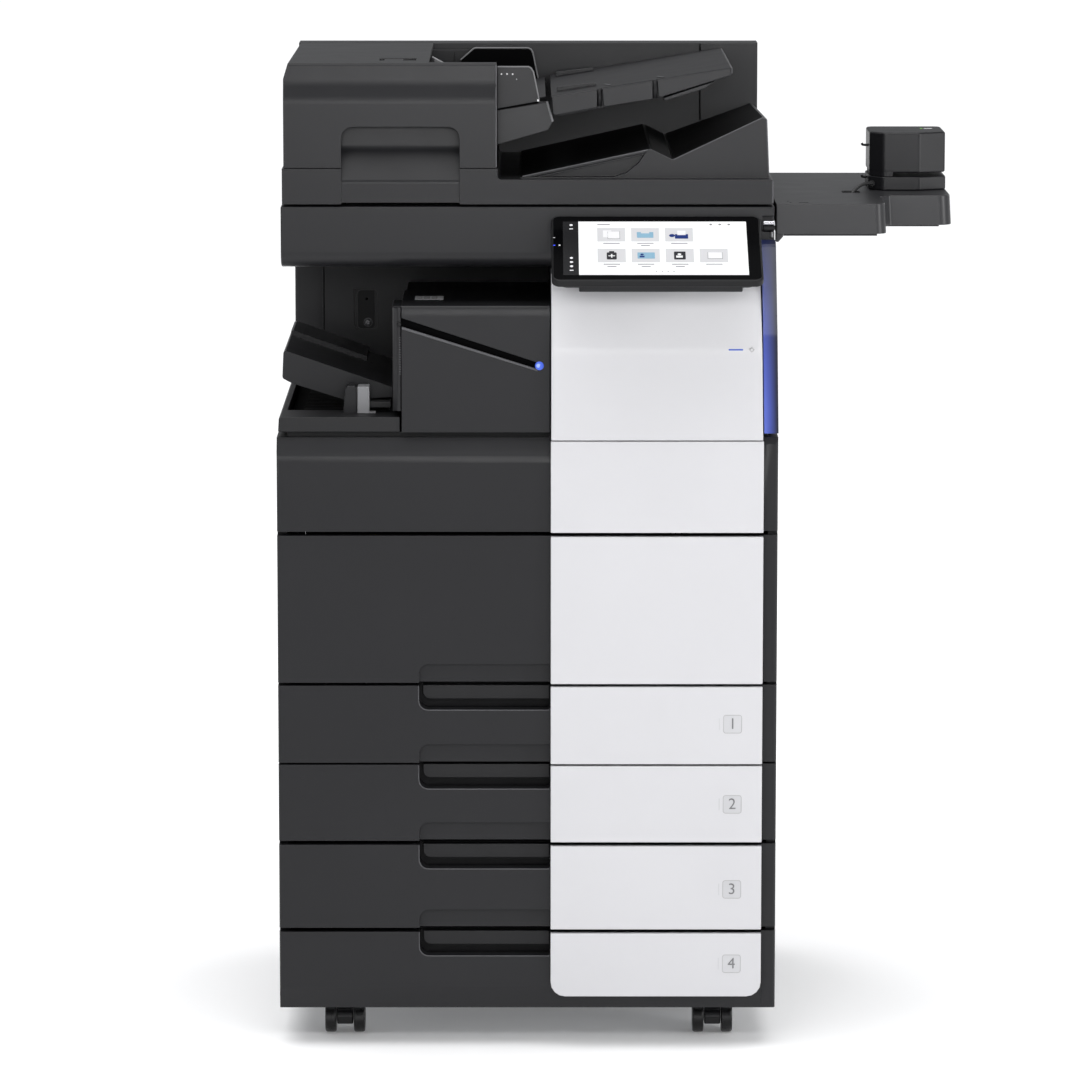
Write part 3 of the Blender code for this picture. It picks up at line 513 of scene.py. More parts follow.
def make_looks():
    """One material for each slot of the record and for each of the scene's own tones, by that name; some of
    those tones are painted light.
    """
    looks = {
        "dark_plastic": plastic("black_moulded_plastic", BLACK, 0.38, specular=0.30),
        "white_plastic": plastic("white_satin_plastic", WHITE, 0.34, tint=0.012, grain=1800.0, bump=0.05,
                                 specular=0.45),
        "grey_plastic": plastic("grey_moulded_plastic", GREY, 0.42),
        "frame_steel": plastic("zinc_plated_sheet", (0.46, 0.47, 0.48), 0.34, tint=0.12, grain=300.0,
                               bump=0.05, metallic=0.9),
        "fuser_steel": plastic("brushed_steel", (0.50, 0.50, 0.52), 0.28, tint=0.10, grain=500.0, bump=0.08,
                               metallic=0.95),
        "blue_gloss": blue_cover_look("blue_cover_painted_shade"),
        "platen_glass": plastic("platen_float_glass", (0.06, 0.075, 0.078), 0.06, tint=0.08, grain=50.0,
                                bump=0.01, specular=0.6, coat=1.0, gloss_spread=0.02),
        "roller_rubber": plastic("roller_rubber", (0.025, 0.025, 0.026), 0.75, grain=900.0, bump=0.35),
        "cord_rubber": plastic("cord_sheath", (0.016, 0.016, 0.017), 0.5, grain=700.0, bump=0.2),
        "caster_plastic": plastic("caster_nylon", (0.006, 0.006, 0.007), 0.26, grain=900.0, bump=0.05),
        "caster_rubber": plastic("caster_tread", (0.0045, 0.0045, 0.005), 0.28, grain=500.0, bump=0.1),
    }
    for ink, colour in INKS.items():
        looks["toner_" + ink] = plastic("toner_%s_plastic" % ink, colour, 0.38, tint=0.06)
    for tone_name, (colour, roughness, specular) in TONES_AND_PAINTED_LIGHT.items():
        looks[tone_name] = plastic(tone_name + "_finish", colour, roughness, specular=specular)
    for glow, (colour, strength) in GLOWS.items():
        looks[glow] = lit(glow, colour, strength)
    looks["screen_glass"] = looks["display_page"]
    looks["lens_glow"] = lit("lens_glow", (0.05, 0.10, 0.50), 0.5, tint=0.3)
    looks["bezel_glass"] = plastic("panel_bezel_glass", (0.0012, 0.0012, 0.0015), 0.16, tint=0.2, bump=0.0,
                                   specular=0.06, gloss_spread=0.01)
    looks["chrome"] = plastic("polished_chrome", (0.42, 0.42, 0.44), 0.20, metallic=1.0, bump=0.0)
    looks["dark_steel"] = plastic("dark_zinc_steel", (0.16, 0.16, 0.165), 0.36, metallic=0.9, bump=0.02)
    return looks


# ---------------------------------------------------------------- CAD nodes that stay

def cleaning_nodes():
    """Node group that merges a CAD node's split corners and shades it smooth, so that a bevel can follow."""
    group = bpy.data.node_groups.new("merge_corners", "GeometryNodeTree")
    group.interface.new_socket("Geometry", in_out="INPUT", socket_type="NodeSocketGeometry")
    group.interface.new_socket("Geometry", in_out="OUTPUT", socket_type="NodeSocketGeometry")
    start = group.nodes.new("NodeGroupInput")
    plain = group.nodes.new("GeometryNodeRemoveAttribute")
    plain.inputs["Name"].default_value = "custom_normal"
    merge = group.nodes.new("GeometryNodeMergeByDistance")
    merge.inputs["Distance"].default_value = 0.00002
    faces = group.nodes.new("GeometryNodeSetShadeSmooth")
    edges = group.nodes.new("GeometryNodeSetShadeSmooth")
    edges.domain = "EDGE"
    end = group.nodes.new("NodeGroupOutput")
    chain = (start, plain, merge, faces, edges, end)
    for first, second in zip(chain, chain[1:]):
        group.links.new(first.outputs["Geometry"], second.inputs["Geometry"])
    return group


NODE_BEVEL = 0.0010
# CAD nodes that get a copy of the black plastic instead of their slot's: painted shade on the document tray
# and deep housings, a darker black on the document guides, painted light on the work table
NODE_PAINTED_LIGHT = {"document_tray": "tray_black", "document_guide_front": "plate_black",
                "document_guide_rear": "plate_black", "feeder_housing": "grip_black",
                "output_deck": "grip_black", "finisher_base": "grip_black", "work_table": "table_black"}
WIDE_BEVELS = {"scanner_case": 0.0026, "feeder_base": 0.0012, "finisher_case": 0.0030, "work_table": 0.0020,
               "feeder_cover": 0.0016, "platen_glass": 0.0004, "right_tower": 0.0006,
               "inner_rear_wall": 0.0008, "finisher_tray": 0.0040, "base_tray": 0.0026}


def dress_nodes(looks):
    """Give every CAD node its slot's material, or for a few a darker or lighter black that is painted light,
    soft edges and even shading.
    """
    group = cleaning_nodes()
    for name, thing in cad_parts.items():
        slot = thing.data.materials[0].name
        thing.data.materials[0] = looks[NODE_PAINTED_LIGHT.get(name, slot)]
        clean = thing.modifiers.new("merge", "NODES")
        clean.node_group = group
        flat = thing.modifiers.new("flat", "DECIMATE")
        flat.decimate_type = "DISSOLVE"
        flat.angle_limit = radians(0.6)
        soften(thing, WIDE_BEVELS.get(name, NODE_BEVEL), 3)


# ---------------------------------------------------------------- cord

CORD_DIAMETER = 0.0044
CORD_ROUTE = ((0.4337, 0.2465, 1.0552), (0.4290, 0.2430, 1.0560), (0.4240, 0.2390, 1.0558),
              (0.4190, 0.2345, 1.0543), (0.4140, 0.2298, 1.0515), (0.4095, 0.2250, 1.0478),
              (0.4062, 0.2210, 1.0434), (0.4042, 0.2185, 1.0386), (0.4034, 0.2176, 1.0336))


def make_cord(looks):
    """Short stapler lead, out of the stapler's corner and down through the slit in the table."""
    points = [Vector(point) + HOME for point in CORD_ROUTE]
    curve = bpy.data.curves.new("stapler_lead", "CURVE")
    curve.dimensions = "3D"
    curve.bevel_depth = CORD_DIAMETER / 2.0
    curve.bevel_resolution = 5
    curve.use_fill_caps = True
    line = curve.splines.new("NURBS")
    line.points.add(len(points) - 1)
    for point, place in zip(line.points, points):
        point.co = (*place, 1.0)
    line.order_u = 4
    line.use_endpoint_u = True
    curve.resolution_u = 6
    curve.materials.append(looks["cord_rubber"])
    lead = bpy.data.objects.new("stapler_lead", curve)
    bpy.context.scene.collection.objects.link(lead)
    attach(lead, "root")
    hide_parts("stapler_cord")


# ---------------------------------------------------------------- control panel

PANEL_SLOPE = radians(64.0)
PANEL_EDGE = (0.0, -0.1120, 0.9690)
PANEL_U = (0.0290, 0.2835)
PANEL_V = (0.0, 0.1500)
PAGE_U = (0.0619, 0.2660)
PAGE_V = (0.0125, 0.1350)
BAR_U = (0.0430, 0.0618)
GLASS_TOP = 0.0008
TILE_U = 0.0846
TILE_STEP = 0.0411
TILE_SIZE = (0.0340, 0.0310)
TILE_V = (0.0886, 0.0405)
ONE_LINE_TILES = ((0, 0), (2, 0), (3, 1))


def panel_place():
    """Moves shapes from the panel's own frame (x across, y up its face, z out of it) to the body frame."""
    up = Vector((0.0, sin(PANEL_SLOPE), cos(PANEL_SLOPE)))
    out = Vector((0.0, -cos(PANEL_SLOPE), sin(PANEL_SLOPE)))
    place = Matrix.Identity(4)
    for row in range(3):
        place[row][1] = up[row]
        place[row][2] = out[row]
        place[row][3] = PANEL_EDGE[row]
    return place


def plate(u_range, v_range, low, high, radius=0.0, steps=5):
    """Thin rounded plate, flat in the x-y plane."""
    return prism("Z", rectangle(*u_range, *v_range, radius, steps), low, high)


def icon_shapes(column, row):
    """Generic pictograms of one tile, as lists of plates by ink."""
    u = TILE_U + TILE_STEP * column
    v = TILE_V[row]
    low = GLASS_TOP + 0.0006
    high = low + 0.0002
    top = high + 0.0002

    def part(u0, u1, v0, v1, upper=False, radius=0.0):
        return plate((u + u0, u + u1), (v + v0, v + v1), high if upper else low, top if upper else high,
                     radius)

    def dot(u0, v0, radius, upper=False):
        return prism("Z", circle(u + u0, v + v0, radius, 20), high if upper else low, top if upper else high)

    drawings = {(0, 0): {"paper": [part(0.007, 0.017, 0.009, 0.025), part(0.013, 0.027, 0.006, 0.022, True)],
                         "green": [part(0.016, 0.024, 0.015, 0.0165)],
                         "line": [part(0.0125, 0.0275, 0.0055, 0.0225)]},
                (1, 0): {"sky": [part(0.007, 0.027, 0.008, 0.018, False, 0.001),
                                 part(0.007, 0.012, 0.017, 0.021), part(0.022, 0.027, 0.017, 0.021)]},
                (2, 0): {"navy": [part(0.012, 0.028, 0.006, 0.016), dot(0.0085, 0.013, 0.0035)],
                         "paper": [part(0.015, 0.025, 0.014, 0.024, True)]},
                (0, 1): {"dark": [part(0.011, 0.023, 0.006, 0.022, False, 0.0015),
                                  part(0.014, 0.020, 0.021, 0.025)],
                         "paper": [part(0.0162, 0.0178, 0.010, 0.018, True),
                                   part(0.013, 0.021, 0.0132, 0.0148, True)]},
                (1, 1): {"sky": [part(0.007, 0.028, 0.008, 0.022, False, 0.001)],
                         "navy": [dot(0.0125, 0.0170, 0.0020, True),
                                  part(0.0095, 0.0155, 0.0105, 0.0140, True)]},
                (2, 1): {"dark": [part(0.010, 0.024, 0.006, 0.024, False, 0.001)],
                         "paper": [dot(0.0165, 0.0175, 0.0022, True),
                                   part(0.0125, 0.0205, 0.0100, 0.0145, True)]},
                (3, 1): {"paper": [part(0.010, 0.027, 0.008, 0.022, True)],
                         "line": [part(0.0095, 0.0275, 0.0075, 0.0225)]},}
    return drawings[(column, row)]


def make_page():
    """The lit page: side bar, tiles with pictograms, and grey bars where captions would be."""
    place = panel_place()

    def layer(name, shapes, look):
        piece(name, merged(shapes), look, "panel", "screen_glass", place=place)

    base = GLASS_TOP
    piece("panel_page", plate(PAGE_U, PAGE_V, base - 0.0006, base + 0.0002), "screen_glass", "panel",
          "screen_glass", hides=("panel_screen",), place=place)
    piece("panel_side_bar", plate(BAR_U, PAGE_V, base - 0.0006, base + 0.0002),
          "side_bar_page", "panel", "screen_glass", place=place)
    tiles = [(column, row) for row, count in enumerate((3, 4)) for column in range(count)]
    layer("panel_tiles", [plate((TILE_U + TILE_STEP * c, TILE_U + TILE_STEP * c + TILE_SIZE[0]),
                                (TILE_V[r], TILE_V[r] + TILE_SIZE[1]), base, base + 0.0005, 0.0006)
                          for c, r in tiles], "tile_page")
    inks = ("paper", "line", "dark", "navy", "sky", "green")
    drawn = {ink: [] for ink in inks}
    for column, row in tiles:
        for ink, shapes in icon_shapes(column, row).items():
            drawn[ink].extend(shapes)
    captions = [(c, r, 0.0200, 0.0) for c, r in tiles]
    captions += [(c, r, 0.0110, 0.0052) for c, r in tiles if (c, r) not in ONE_LINE_TILES]
    for column, row, width, drop in captions:
        middle = TILE_U + TILE_STEP * column + TILE_SIZE[0] / 2.0
        v = TILE_V[row] - 0.0052 - drop
        drawn["line"].append(plate((middle - width / 2.0, middle + width / 2.0), (v, v + 0.0018), base,
                                   base + 0.0004, 0.0004, 2))
    drawn["line"].append(plate((0.0850, 0.1000), (0.1270, 0.1288), base, base + 0.0004))
    for u in (0.2230, 0.2340, 0.2450):
        drawn["line"].append(prism("Z", circle(u, 0.1280, 0.0017, 16), base, base + 0.0004))
    for index in range(4):
        drawn["line"].append(prism("Z", circle(0.1550 + 0.0070 * index, 0.0200, 0.0009, 12), base,
                                   base + 0.0004))
    for ink in inks:
        layer("panel_ink_" + ink, drawn[ink], "page_ink_" + ink)
    marks = [prism("Z", circle(0.0530, v, 0.0020, 16), base, base + 0.0005)
             for v in (0.1265, 0.0505, 0.0410, 0.0315)]
    marks += [plate((0.0508, 0.0552), (v, v + 0.0016), base, base + 0.0005) for v in (0.1170, 0.0215)]
    layer("panel_bar_marks", marks, "bar_mark_page")


def make_panel():
    """Touch panel: shell, glossy bezel glass, hub behind it, page and two tiny lamps."""
    place = panel_place()
    shell = plate(PANEL_U, PANEL_V, -0.0095, 0.0, 0.0100, 8)
    piece("panel_shell", shell, "deep_black", "panel", bevel=0.0022, segments=4,
          hides=("panel_housing",), place=place)
    hump = plate((PANEL_U[0] + 0.007, PANEL_U[1] - 0.007), (0.012, 0.143), -0.0190, -0.0080, 0.012, 6)
    piece("panel_back", hump, "dark_plastic", "panel", bevel=0.004, segments=3, place=place)
    hub = prism("X", [(0.010, -0.012), (0.070, -0.012), (0.070, -0.0300), (0.016, -0.0260)], 0.062, 0.259)
    piece("panel_hub", hub, "deep_black", "panel", bevel=0.0015, place=place)
    slots = [plate((0.075 + 0.012 * index, 0.081 + 0.012 * index), (0.085, 0.130), -0.0194, -0.0188, 0.0025)
             for index in range(14)]
    # painted shade: near-black plates for the slots on the panel's back
    piece("panel_back_slots", merged(slots), "void", "panel", place=place)
    glass = plate((PANEL_U[0] + 0.0022, PANEL_U[1] - 0.0022), (PANEL_V[0] + 0.0030, PANEL_V[1] - 0.0022),
                  -0.0010, GLASS_TOP - 0.0002, 0.0085, 8)
    piece("panel_glass", glass, "bezel_glass", "panel", "screen_glass", bevel=0.0004, place=place)
    piece("panel_lamp_grey", plate((0.0310, 0.0335), (0.0975, 0.0990), 0.0, GLASS_TOP), "pale_grey",
          "panel", "grey_plastic", place=place)
    piece("panel_lamp_blue", plate((0.0312, 0.0336), (0.0798, 0.0812), 0.0, GLASS_TOP),
          "lamp_blue", "panel", "blue_gloss", place=place)
    piece("panel_lamp_white", prism("Z", circle(0.0388, 0.0806, 0.0012, 16), 0.0, GLASS_TOP),
          "lamp_white", "panel", "white_plastic", place=place)
    make_page()


# ---------------------------------------------------------------- white covers

BADGE_X = 0.2525
BADGE_Z = (0.4105, 0.3100, 0.2030, 0.1090)
BADGE_HALF = 0.0115
BADGE_RIM = 0.0007
BADGE_TURN = 0.0032
NUMERAL_SIZE = 0.0195
COVER_FACE = -0.0100
BADGE_ROOT = COVER_FACE + 0.0005


def numeral(number):
    """Raised digit, flat in the x-y plane."""
    text = bpy.data.curves.new("numeral", "FONT")
    text.body = str(number)
    text.size = NUMERAL_SIZE
    text.extrude = 0.0002
    text.offset = -0.00008
    text.align_x = "CENTER"
    text.align_y = "CENTER"
    holder = bpy.data.objects.new("numeral", text)
    bpy.context.scene.collection.objects.link(holder)
    bpy.context.view_layer.update()
    shape = bmesh.new()
    shape.from_mesh(bpy.data.meshes.new_from_object(holder))
    bpy.data.objects.remove(holder)
    bmesh.ops.remove_doubles(shape, verts=shape.verts, dist=0.00001)
    return shape


def make_badges():
    """A rounded square outline with the drawer's number, and the paper level slit beside it."""
    for number, z in enumerate(BADGE_Z, start=1):
        body = "drawer_%d" % number
        across = BADGE_X - BADGE_HALF, BADGE_X + BADGE_HALF
        upward = z - BADGE_HALF, z + BADGE_HALF
        outline = rectangle(*across, *upward, BADGE_TURN)
        inner = rectangle(*shrunk(across, BADGE_RIM), *shrunk(upward, BADGE_RIM), BADGE_TURN - 0.0006)
        ring = ring_plate("Y", outline, inner, COVER_FACE - 0.00025, BADGE_ROOT)
        piece("badge_ring_%d" % number, ring, "badge_grey", body, "white_plastic")
        field = prism("Y", inner, COVER_FACE - 0.00008, BADGE_ROOT)
        piece("badge_field_%d" % number, field, "badge_field", body, "white_plastic")
        stand = Matrix.Translation((BADGE_X, COVER_FACE - 0.0002, z)) @ Matrix.Rotation(pi / 2.0, 4, "X")
        piece("badge_number_%d" % number, numeral(number), "badge_ink", body, "grey_plastic", place=stand)
        slit = rectangle(across[0] - 0.0052, across[0] - 0.0040, z - 0.0075, z + 0.0075, 0.0005)
        piece("badge_level_%d" % number, prism("Y", slit, COVER_FACE - 0.0001, BADGE_ROOT), "badge_field",
              body, "white_plastic")


def make_status_marks():
    """Blue status line and the pale diamond beside it, on the white upper cover."""
    z = 0.8740
    face = ray_y("upper_front_cover", 0.254, z)
    line = prism("Y", rectangle(0.2450, 0.2630, z - 0.0009, z + 0.0009, 0.0008), face - 0.0004, face + 0.0015)
    piece("status_line", line, "status_line_glow", "root", "blue_gloss")
    x, outer, inner = 0.2735, 0.0034, 0.0021
    ring = ring_plate("Y", [(x - outer, z), (x, z - outer), (x + outer, z), (x, z + outer)],
                      [(x - inner, z), (x, z - inner), (x + inner, z), (x, z + inner)], face - 0.0008,
                      face + 0.0015)
    piece("status_diamond", ring, "badge_grey", "root", "white_plastic")


# ---------------------------------------------------------------- drawer grips

DRAWER_TOPS = (0.4567, 0.3577, 0.2571, 0.1471)
GRIP_X = (-0.1336, 0.0280)
GRIP_DROP = 0.0300
GRIP_DEPTH = 0.0260
GRIP_TURN = 0.0120


def make_grips():
    """Painted shade as a dark lining, the stepped inner plate, and a painted highlight as the bright lower
    lip of each finger grip.
    """
    low_x, high_x = GRIP_X
    for number, top in enumerate(DRAWER_TOPS, start=1):
        body = "drawer_%d" % number
        floor = top - GRIP_DROP
        # painted shade: a very dark sheet at the back and floor of the pocket
        lining = rounded([(low_x + 0.0004, floor + 0.0004, GRIP_TURN), (high_x - 0.0004, floor + 0.0004),
                          (high_x - 0.0004, top - 0.0010), (low_x + 0.0004, top - 0.0010)], 8)
        piece("grip_lining_%d" % number, prism("Y", lining, 0.0240, GRIP_DEPTH + 0.0005), "deep_black", body)
        inner = rounded([(low_x + 0.0045, top - 0.0185, 0.0090), (high_x - 0.0008, top - 0.0185),
                         (high_x - 0.0008, top - 0.0012), (low_x + 0.0045, top - 0.0012)], 8)
        piece("grip_plate_%d" % number, prism("Y", inner, 0.0130, 0.0245), "grip_black", body,
              bevel=0.0008, segments=2)
        # painted highlight: a lighter bead along the pocket's left and lower rim
        lip = [(low_x - 0.0006, top - 0.0006), (low_x - 0.0006, floor + GRIP_TURN)]
        for step in range(1, 8):
            angle = pi + step * pi / 16.0
            lip.append((low_x - 0.0006 + GRIP_TURN * (1.0 + cos(angle)),
                        floor - 0.0006 + GRIP_TURN * (1.0 + sin(angle))))
        lip.append((low_x - 0.0006 + GRIP_TURN, floor - 0.0006))
        lip.append((high_x - 0.0012, floor - 0.0006))
        wire("grip_lip_%d" % number, [(x, 0.0004, z) for x, z in lip], 0.0007, "highlight_and_mark_grey", body)


# ---------------------------------------------------------------- casters

WHEEL_R = 0.0225
WHEEL_T = 0.0140
CASTER_HALF = 0.0250
CASTER_TRAIL = 0.0130
CORNERS = ("front_left", "front_right", "rear_left", "rear_right")


def wheel_profile(inner, outer):
    """Half section of a wheel between two x places: rounded tread, recessed disc and hub cap outside."""
    side = 1.0 if outer > inner else -1.0
    steps = [(0.0, 0.0), (0.0, 0.0205), (0.0010, WHEEL_R - 0.0004), (0.0030, WHEEL_R), (0.0110, WHEEL_R),
             (0.0130, WHEEL_R - 0.0006), (0.0139, 0.0205), (0.0139, 0.0165), (0.0125, 0.0150),
             (0.0120, 0.0080), (0.0132, 0.0070), (0.0138, 0.0050), (0.0140, 0.0)]
    return [(inner + side * along, max(radius, 0.0002)) for along, radius in steps]


def make_casters():
    """Twin wheels with rounded treads, and the hooded housing between them."""
    for corner in CORNERS:
        low, high = local_box("caster_wheels_" + corner)
        x = (low.x + high.x) / 2.0
        axle_y = (low.y + high.y) / 2.0
        inner = CASTER_HALF - WHEEL_T
        wheels = [turned("X", (x, axle_y, WHEEL_R), wheel_profile(side * inner, side * CASTER_HALF), 48)
                  for side in (-1.0, 1.0)]
        piece("wheels_" + corner + "_treads", merged(wheels), "caster_rubber", "wheels_" + corner,
              "caster_rubber", hides=("caster_wheels_" + corner,))
        stem_y = axle_y - CASTER_TRAIL
        arc = [(axle_y + 0.0195 * cos(pi * k / 12.0), WHEEL_R + 0.0195 * sin(pi * k / 12.0))
               for k in range(13)]
        hood = [(axle_y + 0.0100, 0.0120)] + arc + [(axle_y - 0.0120, 0.0120)]
        block = prism("X", hood, x - inner + 0.0010, x + inner - 0.0010)
        piece("caster_hood_" + corner, block, "caster_plastic", "caster_" + corner, "caster_plastic",
              bevel=0.0016, segments=3, hides=("caster_housing_" + corner,))
        stem = turned("Z", (x, stem_y, 0.0), [(0.0380, 0.0080), (0.0440, 0.0090), (0.0460, 0.0180),
                                              (0.0490, 0.0190), (0.0552, 0.0190)], 40)
        piece("caster_stem_" + corner, stem, "caster_plastic", "caster_" + corner, "caster_plastic",
              bevel=0.0005)


# ---------------------------------------------------------------- stapler and table

STAPLER_FOOT = 1.0473
STAPLER_SLOT = (1.0642, 1.0688)
STAPLER_TOP = 1.1200


def stapler_plan(inset=0.0):
    """Plan of the stapler: a broad front with one dark and one bright bevel beside it."""
    left, right, front, back = 0.4300 + inset, 0.5268 - inset, 0.2360 + inset, 0.3460 - inset
    return rounded([(left, front + 0.0220, 0.006), (left + 0.0160, front, 0.008),
                    (right - 0.0340, front, 0.009), (right, front + 0.0200, 0.004), (right, back, 0.010),
                    (left, back, 0.010)], 6)


def make_stapler():
    """Stapler base and head with its lamp, slot and side pegs."""
    base = prism("Z", stapler_plan(), STAPLER_FOOT, STAPLER_SLOT[0])
    piece("stapler_foot", base, "dark_plastic", bevel=0.0016, segments=3, hides=("stapler_base",))
    riser = prism("Z", rectangle(0.4330, 0.4560, 0.2600, 0.3440, 0.002), STAPLER_SLOT[0] - 0.002,
                  STAPLER_SLOT[1] - 0.0006)
    piece("stapler_riser", riser, "deep_black", bevel=0.0004)
    head = prism("Z", stapler_plan(0.0008), STAPLER_SLOT[1], STAPLER_TOP)
    piece("stapler_hood", head, "dark_plastic", "stapler_head", bevel=0.0026, segments=4,
          hides=("stapler_head",))
    skirt = combine(prism("Z", stapler_plan(0.0008), STAPLER_SLOT[0] + 0.0006, STAPLER_SLOT[1] + 0.0035),
                    slab((0.4200, 0.4590), (0.2200, 0.2592), (1.0500, 1.0800)), "INTERSECT")
    piece("stapler_skirt", skirt, "dark_plastic", "stapler_head", bevel=0.0004)
    line = prism("Z", rectangle(0.5020, 0.5130, 0.3040, 0.3075, 0.0016), STAPLER_TOP - 0.0005,
                 STAPLER_TOP + 0.00025)
    piece("stapler_lamp_bar", line, "lamp_white", "stapler_head", "white_plastic")
    lamp = prism("Z", circle(0.4990, 0.3058, 0.0017, 20), STAPLER_TOP - 0.0005, STAPLER_TOP + 0.00025)
    piece("stapler_lamp", lamp, "lamp_green", "stapler_head", "grey_plastic")
    for name, z, body in (("high", 1.1005, "stapler_head"), ("low", 1.0600, "root")):
        peg = [(0.4315, 0.2900, z), (0.4260, 0.2900, z), (0.4238, 0.2900, z + 0.0004),
               (0.4228, 0.2900, z + 0.0022)]
        wire("stapler_peg_" + name, peg, 0.0016, "deep_black", body)
    seam = [(0.4302, 0.2585, STAPLER_SLOT[0]), (0.4302, 0.2585, STAPLER_FOOT + 0.002)]
    wire("stapler_foot_seam", seam, 0.0004, "void")
    gland = turned("Y", (0.4337, 0.2465, 1.0552), [(-0.0010, 0.0036), (0.0010, 0.0040), (0.0040, 0.0040)], 24)
    piece("stapler_gland", gland, "deep_black", bevel=0.0004)


def make_table_marks():
    """Painted shade in the slit as a dark ring and floor, locating dots and a short line on the table, and
    its underside ribs.
    """
    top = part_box("work_table")[1].z
    # painted shade: a near-black ring down the slit's walls and a near-black floor
    lining = ring_plate("Z", rectangle(0.3942, 0.4168, 0.2062, 0.2338, 0.003),
                        rectangle(0.3954, 0.4156, 0.2074, 0.2326, 0.002), top - 0.006, top + 0.0003)
    piece("table_slit_wall_shade", lining, "deep_black")
    block("table_slit_floor_shade", (0.3952, 0.4158), (0.2072, 0.2328), (top - 0.0199, top - 0.0190), "void")
    dots = [prism("Z", circle(x, y, 0.0011, 14), top - 0.0002, top + 0.0002)
            for x, y in ((0.3205, 0.0850), (0.3232, 0.0700))]
    dots.append(slab((0.3330, 0.3450), (0.0660, 0.0672), (top - 0.0002, top + 0.0002)))
    piece("table_marks", merged(dots), "void")
    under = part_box("work_table")[0].z + 0.010
    ribs = [slab((0.3150, 0.5150 if y > 0.17 else 0.4300), (y, y + 0.0025), (under - 0.0045, under + 0.0005))
            for y in (0.075, 0.130, 0.200, 0.260, 0.320, 0.380, 0.440, 0.490)]
    piece("table_ribs", merged(ribs), "dark_plastic")


# ---------------------------------------------------------------- finisher and output bay

CASE_LEFT = -0.1540
CASE_FACE = 0.0020
CASE_TOP = 0.9275
GROOVE_START = (CASE_LEFT - 0.0100, 0.9150)     # upper edge of the slanted groove, as (x, z)
GROOVE_END = (0.0150, 0.8560)
BAY_WALL = 0.4400           # front face of the bay's rear wall
BAY_RECESS = 0.4425         # floor of the wall's small recess
STOP_Y = (0.0440, 0.0730)
ROD_Y = 0.2462


def screw(x, y, z, axis, out, radius=0.0032):
    """Pan-head screw standing out of a face along an axis; out is +1 or -1 along it."""
    profile = [(-0.0006 * out, radius), (0.0006 * out, radius), (0.0013 * out, radius * 0.72),
               (0.0014 * out, radius * 0.30), (0.0009 * out, radius * 0.26), (0.0009 * out, 0.0001)]
    return turned(axis, (x, y, z), profile, 20)


def groove_z(x, drop):
    """Height at x in the finisher's slanted groove, a drop below its upper edge."""
    slope = (GROOVE_END[1] - GROOVE_START[1]) / (GROOVE_END[0] - GROOVE_START[0])
    return GROOVE_START[1] + slope * (x - GROOVE_START[0]) - drop


def make_groove():
    """Slanted groove of the finisher, darkened as painted shade, with a painted highlight on its lower lip,
    and the round lens at its end with a painted highlight in it.
    """
    left = CASE_LEFT
    # painted shade: a near-black inlay in the groove
    inlay = [(left + 0.0004, groove_z(left, 0.0)), (left + 0.0004, groove_z(left, 0.0108)),
             (0.0108, groove_z(0.0108, 0.0078)), (0.0140, groove_z(0.0140, 0.0002))]
    piece("finisher_groove_shade", prism("Y", inlay, 0.0068, 0.0084), "void")
    # painted highlight: a lighter strip along the groove's lower lip
    lower = [(left + 0.0006, groove_z(left, 0.0106)), (left + 0.0006, groove_z(left, 0.0138)),
             (0.0126, groove_z(0.0126, 0.0106)), (0.0112, groove_z(0.0112, 0.0080))]
    piece("finisher_lip_highlight", prism("Y", lower, 0.0010, 0.0060), "highlight_and_mark_grey", bevel=0.0006)
    lens_x, lens_z = 0.0146, 0.8530
    dome = turned("Y", (lens_x, CASE_FACE, lens_z), [(0.0030, 0.0054), (0.0, 0.0054), (-0.0009, 0.0050),
                                                     (-0.0017, 0.0038), (-0.0022, 0.0020), (-0.0024, 0.0002)],
                  32)
    piece("finisher_lens", dome, "lens_glow", "root", "blue_gloss")
    # painted highlight: a pale glowing core set to the upper left of the lens dome
    core = turned("Y", (lens_x - 0.0012, CASE_FACE, lens_z + 0.0004), [(-0.0012, 0.0030), (-0.0022, 0.0024),
                                                                      (-0.0027, 0.0002)], 20)
    piece("finisher_lens_highlight", core, "lens_painted_highlight", "root", "blue_gloss")


def make_finisher_marks():
    """Blank label, frame rib, knob and comb of teeth on the finisher."""
    left = CASE_LEFT
    block("finisher_label", (-0.1388, -0.1036), (0.0660, 0.1060), (CASE_TOP - 0.0004, CASE_TOP + 0.0003),
          "lamp_white", "root", "grey_plastic")
    bars = [slab((-0.1372 + 0.0095 * c, -0.1300 + 0.0095 * c), (y, y + 0.0050), (CASE_TOP, CASE_TOP + 0.0006))
            for c in range(3) for y in (0.0720, 0.0820, 0.0920)]
    piece("finisher_label_bars", merged(bars), "label_grey", "root", "grey_plastic")
    case_left = local_box("finisher_case")[0].x
    rib = prism("Z", rounded([(case_left + 0.0006, 0.0105), (case_left + 0.0060, 0.0040, 0.003),
                              (left - 0.0006, 0.0040), (left - 0.0006, 0.0140),
                              (case_left + 0.0006, 0.0140)]), 0.7968, 0.9242)
    piece("finisher_frame_rib", rib, "dark_plastic", bevel=0.0012, segments=3)
    knob = turned("Y", (left - 0.0030, 0.0035, 0.9040), [(0.0020, 0.0032), (-0.0012, 0.0032),
                                                         (-0.0022, 0.0022), (-0.0023, 0.0002)], 20)
    piece("finisher_knob", knob, "deep_black")
    teeth = [slab((case_left + 0.0082, left - 0.0008), (0.0030, 0.0045), (z, z + 0.0012))
             for z in row(0.8420, 0.0030, 16)]
    piece("finisher_edge_teeth", merged(teeth), "highlight_and_mark_grey")


